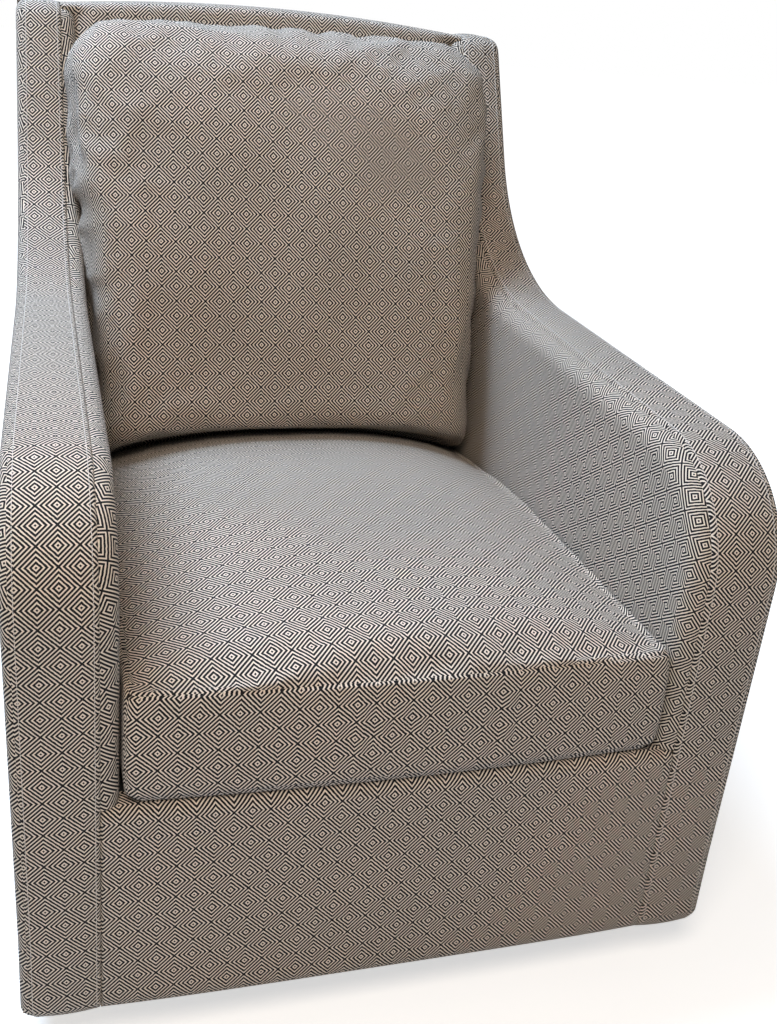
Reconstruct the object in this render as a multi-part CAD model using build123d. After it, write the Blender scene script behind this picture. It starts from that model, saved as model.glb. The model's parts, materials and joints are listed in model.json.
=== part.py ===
from build123d import *
import os
from math import cos, radians, sin, tan

# Upholstered swivel armchair, millimetres, +Z up, seat facing -Y.
# The origin is on the floor, on the swivel axis.

# Side outline of the arms and the back
FRONT_Y = -430.0        # front face of the arms
TOP_Z = 935.0           # top of the wings
UNDER_Z = 50.0          # lower edge of the upholstery
NOSE_Z = 609.0          # height where the arm's top line would meet its front
ARM_RISE = 2.5          # degrees, slope of the arm's top line
WING_TOP_Y = 380.0      # front of the wing at its top
WING_LEAN = 24.0        # degrees from upright
BACK_TOP_Y = 436.4      # outside back at its top
BACK_LEAN = 6.4         # degrees from upright
NOSE_R = 130.0
SWEEP_R = 260.0
WING_TIP_R = 26.0
TOE_R = 22.0
ARCH_RISE = 14.0        # rise of the back's top edge between the wings

# Plan of the arms, as half widths at the front and how fast they narrow
SEAM_X = 295.0          # inner seam of the arm band
INNER_TAPER = 0.03
OUTER_X = 378.0         # outer face of the arm
OUTER_TAPER = 0.065

# Upholstery layers
INSIDE_PAD = 18.0
INSIDE_ROLL = 15.0
INSIDE_ARM_DROP = 85.0  # inside arm panel's top below the wing tops
OUTSIDE_PAD = 8.0
OUTSIDE_ROLL = 6.0
BAND_PAD = 12.0
BORDER_PAD = 12.0
BORDER_TOP_R = 10.0
BACK_PAD = 16.0
BACK_CAP = 12.0
OUTSIDE_BACK_PAD = 10.0
DUST_COVER = 1.5

# Wooden frame
INNER_BOARD = 15.0
OUTER_BOARD = 12.0
BOARD_LIFT = 4.0        # boards end this far above the lower edge of the cover
RAIL = 25.0
RAIL_HEIGHT = 70.0
BACK_RAIL = 18.0
LOWER_RAIL_HEIGHT = 60.0
POST = 40.0
FRONT_POST_TOP_Z = 470.0
ARM_RAIL_START_Y = -290.0
ARM_RAIL_END_Y = 50.0
WING_POST_DROP = 30.0   # top of the post below the wing tops
WING_POST_LENGTH = 185.0
CORNER_BLOCK = 60.0
CORNER_BLOCK_HEIGHT = 40.0
MOUNT_BOARD_THICKNESS = 18.0
MOUNT_BOARD_DEPTH = 340.0
SCREW_R = 2.5
SCREW_LENGTH = 50.0
SCREW_HEAD_R = 5.0
SCREW_HEAD = 3.5
SCREW_HEAD_FIT = 0.6
SCREW_SEAT_GAP = 0.4
SCREW_SPREAD = 32.0

# Seat deck, its springs and the back straps
DECK_FRONT_Z = 298.0
DECK_SLOPE = 1.5        # degrees, falling towards the back
DECK_PAD = 10.0
CLIP_HEIGHT = 6.0
CLIP_WIDTH = 14.0
CLIP_DEPTH = 10.0
WIRE_R = 1.8
WIRE_FIT = 0.2
SPRING_COUNT = 4
SPRING_SPACING = 120.0
SPRING_WIDTH = 50.0
SPRING_STEPS = 13
SPRING_BEND_R = 14.0
REAR_RAIL_BACK_GAP = 6.0
STRAP = 2.0
STRAP_WIDTH = 50.0
STRAP_COUNT = 4
STRAP_SPACING = 120.0
BACK_TOP_GAP = 18.0     # top back rail below the wing tops, along the back
LOWER_BACK_RAIL_RISE = 125.5  # top of the lower back rail above the deck's rear edge

# Inside back
INSIDE_BACK_Y = 386.0   # front of the inside back, level with the wing tops
INSIDE_BACK_LEAN = 14.0

# Seat cushion, heights above the deck
SEAT_GAP = 1.5          # to each arm
SEAT_REST = 0.4
SEAT_EDGE_LOW = 6.0
SEAT_BULGE = 7.0        # how far the seams draw in from the boxing
SEAT_BACK_GAP = 6.0
SEAT_FRONT_BOW = 8.0
SEAT_COVER = 4.0
CORE_FIT = 0.3
# share of the depth, seam height, crown height
SEAT_STATIONS = [(-0.05, 119.0, 126.0), (0.08, 122.0, 144.0), (0.35, 126.0, 166.0),
                 (0.70, 130.0, 176.0), (0.90, 122.0, 155.0), (1.05, 110.0, 123.0)]
ZIP_LENGTH = 400.0
ZIP_WIDTH = 8.0
ZIP_DEPTH = 2.0

# Back cushion, measured along the inside back and out from it
CUSHION_FOOT_RISE = 137.0  # cushion's foot above the deck's rear edge
CUSHION_TOP_DROP = 30.0  # cushion's top below the wing tops, along the back
CUSHION_SIDE_GAP = 0.4  # to each arm at the cushion's foot
CUSHION_REST = 0.5
CUSHION_COVER = 4.0
# share of the height, share of the half width, depth at the middle, depth at the side seam
CUSHION_STATIONS = [(0.0, 0.93, 140.0, 110.0), (0.05, 0.985, 168.0, 138.0), (0.25, 1.0, 178.0, 142.0),
                    (0.50, 1.0, 176.0, 140.0), (0.75, 1.04, 166.0, 132.0), (0.90, 1.03, 150.0, 116.0),
                    (0.965, 0.955, 126.0, 96.0), (1.0, 0.80, 88.0, 66.0)]
CUSHION_BACK_SHARE = 0.92

# Swivel base, from the floor up
GLIDE_R = 18.0
GLIDE = 8.0
GLIDE_STEM_R = 4.0
GLIDE_COUNT = 6
GLIDE_START = 30.0      # degrees, the first glide from +X
RING_R = 250.0          # middle of the ring's bar
RING_WIDTH = 32.0
RING = 8.0
CROSS_WIDTH = 40.0
CROSS = 8.0
CROSS_END_GAP = 6.5     # bars end this far inside the ring's outer edge
PLATE = 4.0
PLATE_R = 112.0
RACE_R = 75.0
RACE_WIDTH = 20.0
BALL_R = 5.0
BALL_FIT = 0.15
BALL_COUNT = 20
CAGE = 1.6
CAGE_GAP = 1.2
PIVOT_R = 8.0
PIVOT_FIT = 0.06
PIVOT_WASHER_R = 17.0
PIVOT_WASHER = 3.0
PIVOT_WASHER_GAP = 0.2
PIVOT_NUT_R = 13.0
PIVOT_NUT = 8.0
PIVOT_HOLE_R = 24.0     # clearance hole in the mount board
BOLT_R = 4.0
BOLT_HEAD_R = 7.0
BOLT_HEAD = 5.0
NUT = 6.5
BOLT_COUNT = 4          # on each bolt circle
BASE_BOLT_EDGE = 10.0   # bolts to the cross bars, in from the plate's edge
MOUNT_BOLT_EDGE = 12.0  # bolts to the mount board, in from the plate's edge
MOUNT_BOLT_START = 45.0  # degrees, the first mount bolt from +X

# Heights of the base stack
ring_z = GLIDE
cross_z = ring_z + RING
lower_plate_z = cross_z + CROSS
plate_gap = UNDER_Z + BOARD_LIFT - PLATE - (lower_plate_z + PLATE)
upper_plate_z = lower_plate_z + PLATE + plate_gap
ball_z = lower_plate_z + PLATE + plate_gap / 2
mount_board_z = upper_plate_z + PLATE

EDGE_MARGIN = 1.0       # edges nearer than this to a cut end stay sharp
REACH = 1200.0          # longer than the chair, for cutting shapes
SPARE = 60.0            # cutting shapes start this far outside the chair
LOW_Y = FRONT_Y - SPARE
HIGH_Y = BACK_TOP_Y + SPARE


def closed(points, corner_radii):
    return make_face(FilletPolyline(*points, radius=corner_radii, close=True))


def polygon(points):
    return make_face(Polyline(*points, close=True))


def rectangle(near_y, far_y, low_z, high_z):
    """A side-view rectangle."""
    return polygon([(near_y, low_z), (far_y, low_z), (far_y, high_z), (near_y, high_z)])


def across(face, low_x=-REACH, high_x=REACH):
    """A side-view face, drawn as (y, z), carried across the chair."""
    return extrude(Plane.YZ.offset(low_x) * face, high_x - low_x)


def upward(face, low_z=0.0, high_z=REACH):
    """A plan-view face, drawn as (x, y), carried up."""
    return extrude(Plane.XY.offset(low_z) * face, high_z - low_z)


def mirrored(solid):
    return mirror(solid, about=Plane.YZ)


# Lines of the side view
def arm_line_z(y, inset=0.0):
    return NOSE_Z + (y - FRONT_Y) * tan(radians(ARM_RISE)) - inset / cos(radians(ARM_RISE))


def wing_line_y(z, inset=0.0):
    return WING_TOP_Y - (TOP_Z - z) * tan(radians(WING_LEAN)) + inset / cos(radians(WING_LEAN))


def outside_back_y(z, inset=0.0):
    return BACK_TOP_Y - (TOP_Z - z) * tan(radians(BACK_LEAN)) - inset / cos(radians(BACK_LEAN))


def inside_back_y(z, inset=0.0):
    lean = radians(INSIDE_BACK_LEAN)
    return INSIDE_BACK_Y - (TOP_Z - z) * tan(lean) + inset / cos(lean)


def deck_z(y, drop=0.0):
    return DECK_FRONT_Z - (y - FRONT_Y) * tan(radians(DECK_SLOPE)) - drop / cos(radians(DECK_SLOPE))


# Heights that follow the wing tops and the deck's rear edge
inside_arm_top_z = TOP_Z - INSIDE_ARM_DROP
deck_rear_z = deck_z(inside_back_y(DECK_FRONT_Z))
lower_back_rail_drop = (TOP_Z - deck_rear_z - LOWER_BACK_RAIL_RISE) / cos(radians(INSIDE_BACK_LEAN))
cushion_low = (TOP_Z - deck_rear_z - CUSHION_FOOT_RISE) / cos(radians(INSIDE_BACK_LEAN))
cushion_height = cushion_low - CUSHION_TOP_DROP


def sweep_corner(inset):
    """Where the arm's top line meets the wing line."""
    rise = tan(radians(ARM_RISE))
    lean = tan(radians(WING_LEAN))
    z_at_front = arm_line_z(FRONT_Y, inset)
    y_at_zero = wing_line_y(0.0, inset)
    y = (y_at_zero + lean * (z_at_front - FRONT_Y * rise)) / (1.0 - lean * rise)
    return (y, arm_line_z(y, inset))


def side_outline(inset=0.0, back_inset=0.0, lift=0.0):
    """Outline of an arm and its wing, drawn in by inset along the front and the top."""
    low_z = UNDER_Z + lift
    high_z = TOP_Z - inset
    front_y = FRONT_Y + inset
    points = [
        (front_y, low_z),
        (front_y, arm_line_z(front_y, inset)),
        sweep_corner(inset),
        (wing_line_y(high_z, inset), high_z),
        (outside_back_y(high_z, back_inset), high_z),
        (outside_back_y(low_z, back_inset), low_z),
    ]
    return closed(points, [TOE_R - inset, NOSE_R - inset, SWEEP_R + inset, WING_TIP_R - inset, 0.0, 0.0])


def board_outline():
    """Outline of the wooden boards inside an arm's cover."""
    return side_outline(BAND_PAD, OUTSIDE_BACK_PAD, BOARD_LIFT)


# Planes of the plan view: half width at the front, narrowing
inner_face = (SEAM_X - INSIDE_PAD, INNER_TAPER)
inner_seam = (SEAM_X, INNER_TAPER)
inner_board_back = (SEAM_X + INNER_BOARD, INNER_TAPER)
outer_board_front = (OUTER_X - OUTSIDE_PAD - OUTER_BOARD, OUTER_TAPER)
outer_seam = (OUTER_X - OUTSIDE_PAD, OUTER_TAPER)
outer_face = (OUTER_X, OUTER_TAPER)


def half_width(plane, y):
    front, taper = plane
    return front - taper * (y - FRONT_Y)


cushion_foot_y = inside_back_y(deck_rear_z + CUSHION_FOOT_RISE)
cushion_half_width = half_width(inner_face, cushion_foot_y) - CUSHION_SIDE_GAP


def strip_between(near, far):
    """Space between two upright planes on the +X side."""
    face = polygon([
        (half_width(near, LOW_Y), LOW_Y),
        (half_width(far, LOW_Y), LOW_Y),
        (half_width(far, HIGH_Y), HIGH_Y),
        (half_width(near, HIGH_Y), HIGH_Y),
    ])
    return upward(face)


def space_within(plane):
    """Space between the +X and -X copies of one upright plane."""
    low = half_width(plane, LOW_Y)
    high = half_width(plane, HIGH_Y)
    return upward(polygon([(-low, LOW_Y), (low, LOW_Y), (high, HIGH_Y), (-high, HIGH_Y)]))


def arm_layer(face, near, far):
    return across(face, 0.0) & strip_between(near, far)


def between_arms(face):
    return across(face) & space_within(inner_seam)


# Arm upholstery
def lies_on(plane, edge, tolerance=0.05):
    """Whether an edge lies on an upright plane of the +X arm."""
    spots = [edge @ share for share in (0.0, 0.5, 1.0)]
    return all(abs(spot.X - half_width(plane, spot.Y)) < tolerance for spot in spots)


def arm_band():
    ring = side_outline(back_inset=OUTSIDE_BACK_PAD) - board_outline()
    under = polygon([
        (FRONT_Y + BAND_PAD, UNDER_Z - TOE_R),
        (FRONT_Y + BAND_PAD, UNDER_Z + BOARD_LIFT),
        (HIGH_Y, UNDER_Z + BOARD_LIFT),
        (HIGH_Y, UNDER_Z - TOE_R),
    ])
    return arm_layer(ring - under, inner_seam, outer_seam)


def inside_arm_panel():
    """Padded panel from the deck up to the band, in front of the inside back."""
    seat_side = polygon([
        (LOW_Y, deck_z(LOW_Y)),
        (LOW_Y, inside_arm_top_z),
        (inside_back_y(inside_arm_top_z), inside_arm_top_z),
        (inside_back_y(deck_z(inside_back_y(0.0))), deck_z(inside_back_y(0.0))),
    ])
    panel = arm_layer(side_outline() & seat_side, inner_face, inner_seam)

    def rolls(edge):
        middle = edge @ 0.5
        off_back = abs(middle.Y - inside_back_y(middle.Z)) > EDGE_MARGIN
        off_ends = deck_z(middle.Y) + EDGE_MARGIN < middle.Z < inside_arm_top_z - EDGE_MARGIN
        return lies_on(inner_face, edge) and off_ends and off_back

    return fillet(panel.edges().filter_by(rolls), INSIDE_ROLL)


def outside_arm_panel():
    panel = arm_layer(side_outline(back_inset=OUTSIDE_BACK_PAD), outer_seam, outer_face)
    return fillet([edge for edge in panel.edges() if lies_on(outer_face, edge)], OUTSIDE_ROLL)


# Arm frame
def arm_inner_board():
    return arm_layer(board_outline(), inner_seam, inner_board_back)


def arm_outer_board():
    return arm_layer(board_outline(), outer_board_front, outer_seam)


def arm_spacer(face):
    """A block between the two boards of an arm, bored where screw heads need room."""
    return arm_layer(face & board_outline(), inner_board_back, outer_board_front) - screw_head_rooms()


def front_post():
    low_z = UNDER_Z + BOARD_LIFT
    near_y = FRONT_Y + BAND_PAD
    return arm_spacer(rectangle(near_y, near_y + POST, low_z, FRONT_POST_TOP_Z))


def arm_rail():
    top = [(y, arm_line_z(y, BAND_PAD)) for y in (ARM_RAIL_START_Y, ARM_RAIL_END_Y)]
    low = [(y, arm_line_z(y, BAND_PAD + POST)) for y in (ARM_RAIL_END_Y, ARM_RAIL_START_Y)]
    return arm_spacer(polygon(top + low))


def wing_post():
    high_z = TOP_Z - WING_POST_DROP
    low_z = high_z - WING_POST_LENGTH
    near = [(wing_line_y(z, BAND_PAD), z) for z in (low_z, high_z)]
    far = [(wing_line_y(z, BAND_PAD + POST / 2), z) for z in (high_z, low_z)]
    return arm_spacer(polygon(near + far))


def arm_foot_rail():
    low_z = UNDER_Z + BOARD_LIFT
    high_z = low_z + LOWER_RAIL_HEIGHT
    near_y = FRONT_Y + BAND_PAD + POST
    far_y = outside_back_y(low_z, OUTSIDE_BACK_PAD)
    return arm_spacer(rectangle(near_y, far_y, low_z, high_z))


# Rails between the arms
border_back_y = FRONT_Y + BORDER_PAD
rail_back_y = border_back_y + RAIL
rear_rail_back_y = inside_back_y(DECK_FRONT_Z) - REAR_RAIL_BACK_GAP
rear_rail_front_y = rear_rail_back_y - RAIL
frame_z = UNDER_Z + BOARD_LIFT


def spring_rail(front_y, back_y):
    """A rail that carries spring clips under the sloping deck."""
    drop = DECK_PAD + CLIP_HEIGHT
    return polygon([
        (front_y, deck_z(front_y, drop)),
        (back_y, deck_z(back_y, drop)),
        (back_y, deck_z(back_y, drop) - RAIL_HEIGHT),
        (front_y, deck_z(back_y, drop) - RAIL_HEIGHT),
    ])


def lower_front_rail_face():
    return rectangle(border_back_y, rail_back_y, frame_z, frame_z + LOWER_RAIL_HEIGHT)


def lower_rear_rail_face():
    high_z = frame_z + LOWER_RAIL_HEIGHT
    near = OUTSIDE_BACK_PAD + RAIL
    return polygon([
        (outside_back_y(frame_z, OUTSIDE_BACK_PAD), frame_z),
        (outside_back_y(high_z, OUTSIDE_BACK_PAD), high_z),
        (outside_back_y(high_z, near), high_z),
        (outside_back_y(frame_z, near), frame_z),
    ])


def back_rail_face(top_drop):
    """A rail behind the back straps, square to the inside back; top_drop runs down the back."""
    lean = radians(INSIDE_BACK_LEAN)
    near = BACK_PAD + STRAP
    far = near + BACK_RAIL
    low_drop = top_drop + LOWER_RAIL_HEIGHT
    corners = [(top_drop, near), (top_drop, far), (low_drop, far), (low_drop, near)]
    return polygon([
        (INSIDE_BACK_Y - drop * sin(lean) + depth * cos(lean), TOP_Z - drop * cos(lean) - depth * sin(lean))
        for drop, depth in corners
    ])


def face_middle(face):
    return face.center().X, face.center().Y


RAIL_FACES = {
    "upper_front_rail": spring_rail(border_back_y, rail_back_y),
    "lower_front_rail": lower_front_rail_face(),
    "rear_seat_rail": spring_rail(rear_rail_front_y, rear_rail_back_y),
    "lower_rear_rail": lower_rear_rail_face(),
    "lower_back_rail": back_rail_face(lower_back_rail_drop),
    "top_back_rail": back_rail_face(BACK_TOP_GAP),
}


def screw_spots():
    """Each rail's end takes two screws, one above the other."""
    spots = []
    for face in RAIL_FACES.values():
        y, z = face_middle(face)
        spots += [(y, z - SCREW_SPREAD / 2), (y, z + SCREW_SPREAD / 2)]
    return spots


def screw_seat(y, z):
    """Where a screw's head sits, behind the inner board of the +X arm."""
    return Plane.YZ.offset(half_width(inner_board_back, y) + SCREW_SEAT_GAP) * Pos(y, z)


def screw_shank(y, z):
    return screw_seat(y, z) * Cylinder(SCREW_R, SCREW_LENGTH, align=(Align.CENTER, Align.CENTER, Align.MAX))


def frame_screw(y, z):
    """Screw of the +X arm, driven through the inner board into a rail's end."""
    head = Cylinder(SCREW_HEAD_R, SCREW_HEAD, align=(Align.CENTER, Align.CENTER, Align.MIN))
    return screw_shank(y, z) + screw_seat(y, z) * head


def screw_holes():
    """The screws' shanks, on both sides."""
    holes = [screw_shank(y, z) for y, z in screw_spots()]
    return holes + [mirrored(hole) for hole in holes]


def screw_head_rooms():
    room = Cylinder(SCREW_HEAD_R + SCREW_HEAD_FIT, 2 * (SCREW_HEAD + SCREW_HEAD_FIT))
    return [screw_seat(y, z) * room for y, z in screw_spots()]


def frame_screws():
    right = [frame_screw(y, z) for y, z in screw_spots()]
    return right + [mirrored(screw) for screw in right]


def corner_blocks():
    """Glue blocks in the lower corners, at both rails."""
    front = [
        (rail_back_y, 1.0),
        (outside_back_y(frame_z, OUTSIDE_BACK_PAD + RAIL), -1.0),
    ]
    blocks = []
    for rail_y, way in front:
        x = half_width(inner_seam, rail_y)
        far_x = half_width(inner_seam, rail_y + way * CORNER_BLOCK)
        corner = polygon([(x, rail_y), (x - CORNER_BLOCK, rail_y), (far_x, rail_y + way * CORNER_BLOCK)])
        block = upward(corner, frame_z, frame_z + CORNER_BLOCK_HEIGHT)
        blocks += [block, mirrored(block)]
    return blocks


# Seat deck and springs
def deck_frame(x=0.0, depth=0.0, height=0.0):
    """A place on the deck: across, back along its slope, and up from it."""
    slope = radians(DECK_SLOPE)
    plane = Plane(origin=(0.0, FRONT_Y, DECK_FRONT_Z), x_dir=(1, 0, 0), z_dir=(0, sin(slope), cos(slope)))
    return plane * Pos(x, depth, height)


def deck_depth(y):
    return (y - FRONT_Y) / cos(radians(DECK_SLOPE))


def seat_deck():
    end_low_z = deck_z(inside_back_y(0.0), DECK_PAD)
    end_high_z = deck_z(inside_back_y(DECK_FRONT_Z))
    return between_arms(polygon([
        (border_back_y, deck_z(border_back_y)),
        (inside_back_y(end_high_z), end_high_z),
        (inside_back_y(end_low_z), end_low_z),
        (border_back_y, deck_z(border_back_y, DECK_PAD)),
    ]))


def spring_places():
    return [(n - (SPRING_COUNT - 1) / 2) * SPRING_SPACING for n in range(SPRING_COUNT)]


spring_front = deck_depth((border_back_y + rail_back_y) / 2)
spring_rear = deck_depth((rear_rail_front_y + rear_rail_back_y) / 2)
wire_height = -DECK_PAD - CLIP_HEIGHT / 2


def seat_spring(x):
    """Sinuous wire spring lying under the deck from rail to rail."""
    step = (spring_rear - spring_front) / SPRING_STEPS
    points = []
    for n in range(SPRING_STEPS + 1):
        side = 1.0 if n % 2 else -1.0
        depth = spring_front + n * step
        points += [(side * SPRING_WIDTH / 2, depth), (-side * SPRING_WIDTH / 2, depth)]
    path = FilletPolyline(*points, radius=SPRING_BEND_R)
    section = Plane(origin=path @ 0, z_dir=path % 0) * Circle(WIRE_R)
    return deck_frame(x, 0.0, wire_height) * sweep(section, path=path)


def spring_clip(x, depth):
    clip = Box(CLIP_WIDTH, CLIP_DEPTH, CLIP_HEIGHT) - Rot(0, 90, 0) * Cylinder(WIRE_R + WIRE_FIT, CLIP_WIDTH)
    return deck_frame(x, depth, wire_height) * clip


def spring_clips():
    return [spring_clip(x, depth) for x in spring_places() for depth in (spring_front, spring_rear)]


# Back
def back_frame(x=0.0, rise=0.0, depth=0.0):
    """A place on the inside back: across, up along it from the wing tops, and out from it."""
    lean = radians(INSIDE_BACK_LEAN)
    plane = Plane(origin=(0.0, INSIDE_BACK_Y, TOP_Z), x_dir=(1, 0, 0), z_dir=(0, -cos(lean), sin(lean)))
    return plane * Pos(x, rise, depth)


def back_straps():
    low = -lower_back_rail_drop - LOWER_RAIL_HEIGHT
    high = -BACK_TOP_GAP
    straps = []
    for n in range(STRAP_COUNT):
        x = (n - (STRAP_COUNT - 1) / 2) * STRAP_SPACING
        strap = Box(STRAP_WIDTH, high - low, STRAP)
        straps.append(back_frame(x, (low + high) / 2, -BACK_PAD - STRAP / 2) * strap)
    return straps


def arched_front_view(top_z, half, low_z):
    """Front view below the back's arched top edge."""
    seam = half_width(inner_seam, WING_TOP_Y)
    edges = [
        Line((-half, low_z), (half, low_z)),
        Line((half, low_z), (half, top_z)),
        Line((half, top_z), (seam, top_z)),
        ThreePointArc((seam, top_z), (0.0, top_z + ARCH_RISE), (-seam, top_z)),
        Line((-seam, top_z), (-half, top_z)),
        Line((-half, top_z), (-half, low_z)),
    ]
    face = make_face(Curve() + edges)
    return extrude(Plane.XZ * face, REACH, both=True)


def inside_back_panel():
    """Front panel that rolls over the top to meet the outside back."""
    low_z = deck_z(inside_back_y(0.0), DECK_PAD)
    high_z = TOP_Z + 2 * ARCH_RISE
    front = polygon([
        (inside_back_y(low_z), low_z),
        (inside_back_y(high_z), high_z),
        (inside_back_y(high_z, BACK_PAD), high_z),
        (inside_back_y(low_z, BACK_PAD), low_z),
    ])
    cap = polygon([
        (inside_back_y(TOP_Z - BACK_CAP), TOP_Z - BACK_CAP),
        (inside_back_y(high_z), high_z),
        (outside_back_y(high_z, OUTSIDE_BACK_PAD), high_z),
        (outside_back_y(TOP_Z - BACK_CAP, OUTSIDE_BACK_PAD), TOP_Z - BACK_CAP),
    ])
    wide = REACH / 2
    whole = arched_front_view(TOP_Z, wide, 0.0)
    under_cap = arched_front_view(TOP_Z - BACK_CAP, wide, 0.0)
    return (between_arms(front) & whole) + (between_arms(cap) & (whole - under_cap))


def outside_back_panel():
    high_z = TOP_Z + 2 * ARCH_RISE
    sheet = polygon([
        (outside_back_y(UNDER_Z, OUTSIDE_BACK_PAD), UNDER_Z),
        (outside_back_y(UNDER_Z), UNDER_Z),
        (outside_back_y(high_z), high_z),
        (outside_back_y(high_z, OUTSIDE_BACK_PAD), high_z),
    ])
    return across(sheet) & space_within(outer_face) & arched_front_view(TOP_Z, REACH / 2, 0.0)


# Seat front and underside
def front_border():
    corners = [
        (FRONT_Y, UNDER_Z),
        (FRONT_Y, deck_z(FRONT_Y)),
        (border_back_y, deck_z(border_back_y)),
        (border_back_y, UNDER_Z),
    ]
    return between_arms(closed(corners, [TOE_R - BORDER_PAD, BORDER_TOP_R, 0.0, 0.0]))


def dust_cover(near_y, far_y):
    return between_arms(rectangle(near_y, far_y, frame_z - DUST_COVER, frame_z))


def front_dust_cover():
    return dust_cover(border_back_y, -MOUNT_BOARD_DEPTH / 2)


def rear_dust_cover():
    return dust_cover(MOUNT_BOARD_DEPTH / 2, outside_back_y(frame_z - DUST_COVER, OUTSIDE_BACK_PAD))


# Cushions
def section_face(points, middles):
    """Closed section: straight between points where the middle is None, else an arc through it."""
    edges = []
    for n, middle in enumerate(middles):
        start = points[n]
        end = points[(n + 1) % len(points)]
        edges.append(Line(start, end) if middle is None else ThreePointArc(start, middle, end))
    return make_face(Curve() + edges)


seat_front_y = FRONT_Y
seat_back_y = inside_back_y(DECK_FRONT_Z) - SEAT_BACK_GAP
seat_depth = seat_back_y - seat_front_y


def seat_section(share, seam_height, crown_height, inset):
    y = seat_front_y + share * seat_depth
    half = half_width(inner_face, y) - SEAT_GAP - inset
    edge = half - SEAT_BULGE
    low = SEAT_EDGE_LOW + inset
    high = seam_height - inset
    middle = (low + high) / 2
    points = [(-edge, low), (edge, low), (edge, high), (-edge, high)]
    middles = [(0.0, SEAT_REST + inset), (half, middle), (0.0, crown_height - inset), (-half, middle)]
    slope = radians(DECK_SLOPE)
    plane = Plane(origin=(0.0, y, deck_z(y)), x_dir=(1, 0, 0), z_dir=(0, -cos(slope), sin(slope)))
    return plane * section_face(points, middles)


def seat_cushion_body(inset=0.0):
    """Crowned box cushion with a bowed front, drawn in by inset all round."""
    block = loft([seat_section(*station, inset) for station in SEAT_STATIONS])
    wide = half_width(inner_face, FRONT_Y)
    front_y = seat_front_y + inset
    back_y = seat_back_y - inset
    plan = make_face(Curve() + [
        ThreePointArc((-wide, front_y), (0.0, front_y - SEAT_FRONT_BOW), (wide, front_y)),
        Line((wide, front_y), (wide, back_y)),
        Line((wide, back_y), (-wide, back_y)),
        Line((-wide, back_y), (-wide, front_y)),
    ])
    return block & upward(plan)


def seat_cushion_cover():
    return seat_cushion_body() - seat_cushion_body(SEAT_COVER)


def seat_cushion_foam():
    return seat_cushion_body(SEAT_COVER + CORE_FIT)


def seat_cushion_zip():
    middle_z = deck_z(seat_back_y) + SEAT_STATIONS[-1][1] / 2
    return Pos(0.0, seat_back_y + ZIP_DEPTH / 2, middle_z) * Box(ZIP_LENGTH, ZIP_DEPTH, ZIP_WIDTH)


def cushion_section(share, width_share, depth, side_depth, inset):
    half = cushion_half_width * width_share - inset
    back_half = half * CUSHION_BACK_SHARE
    near = CUSHION_REST + inset
    side = side_depth
    points = [(-back_half, near), (back_half, near), (half, side), (-half, side)]
    between = ((half + back_half) / 2 + (half - back_half) / 5, (near + side) / 2)
    middles = [None, between, (0.0, depth - inset), (-between[0], between[1])]
    rise = inset + share * (cushion_height - 2 * inset) - cushion_low
    lean = radians(INSIDE_BACK_LEAN)
    origin = (0.0, INSIDE_BACK_Y + rise * sin(lean), TOP_Z + rise * cos(lean))
    plane = Plane(origin=origin, x_dir=(1, 0, 0), z_dir=(0, -sin(lean), -cos(lean)))
    return plane * section_face(points, middles)


def back_cushion_body(inset=0.0):
    """Pillow that leans on the inside back, fuller at its foot."""
    return loft([cushion_section(*station, inset) for station in CUSHION_STATIONS])


def back_cushion_cover():
    return back_cushion_body() - back_cushion_body(CUSHION_COVER)


def back_cushion_fill():
    return back_cushion_body(CUSHION_COVER + CORE_FIT)


def back_cushion_zip():
    depth = CUSHION_STATIONS[0][3] / 2
    return back_frame(0.0, -cushion_low - ZIP_DEPTH / 2, depth) * Box(ZIP_LENGTH, ZIP_DEPTH, ZIP_WIDTH)


# Swivel base
def disc(radius, low_z, height):
    return Pos(0, 0, low_z) * Cylinder(radius, height, align=(Align.CENTER, Align.CENTER, Align.MIN))


def around(count, radius, start=0.0):
    """Places on a circle about the swivel axis."""
    return [Rot(0, 0, start + 360.0 * n / count) * Pos(radius, 0, 0) for n in range(count)]


def base_ring():
    ring = disc(RING_R + RING_WIDTH / 2, ring_z, RING) - disc(RING_R - RING_WIDTH / 2, ring_z, RING)
    holes = [place * disc(GLIDE_STEM_R, ring_z, RING) for place in around(GLIDE_COUNT, RING_R, GLIDE_START)]
    return ring - holes


def glides():
    glide = disc(GLIDE_R, 0.0, GLIDE) + disc(GLIDE_STEM_R, 0.0, GLIDE + RING)
    return [place * glide for place in around(GLIDE_COUNT, RING_R, GLIDE_START)]


bar_reach = RING_R + RING_WIDTH / 2 - CROSS_END_GAP


def base_bolt_places():
    return around(BOLT_COUNT, PLATE_R - BASE_BOLT_EDGE)


def mount_bolt_places():
    return around(BOLT_COUNT, PLATE_R - MOUNT_BOLT_EDGE, MOUNT_BOLT_START)


def bolt_cutters(places, low_z, high_z):
    return [place * disc(BOLT_R, low_z, high_z - low_z) for place in places]


def cross_bar(low_x, high_x):
    bar = Pos((low_x + high_x) / 2, 0, cross_z + CROSS / 2) * Box(high_x - low_x, CROSS_WIDTH, CROSS)
    return bar - bolt_cutters(base_bolt_places(), cross_z, cross_z + CROSS)


def long_cross_bar():
    return cross_bar(-bar_reach, bar_reach)


def short_cross_bars():
    bar = Rot(0, 0, 90) * cross_bar(CROSS_WIDTH / 2, bar_reach)
    return [bar, Rot(0, 0, 180) * bar]


def ball_groove():
    return Pos(0, 0, ball_z) * Torus(RACE_R, BALL_R + BALL_FIT)


def race(low_z, height):
    outer = disc(RACE_R + RACE_WIDTH / 2, low_z, height)
    return outer - disc(RACE_R - RACE_WIDTH / 2, low_z, height)


race_height = plate_gap / 2 - CAGE / 2 - CAGE_GAP


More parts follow.
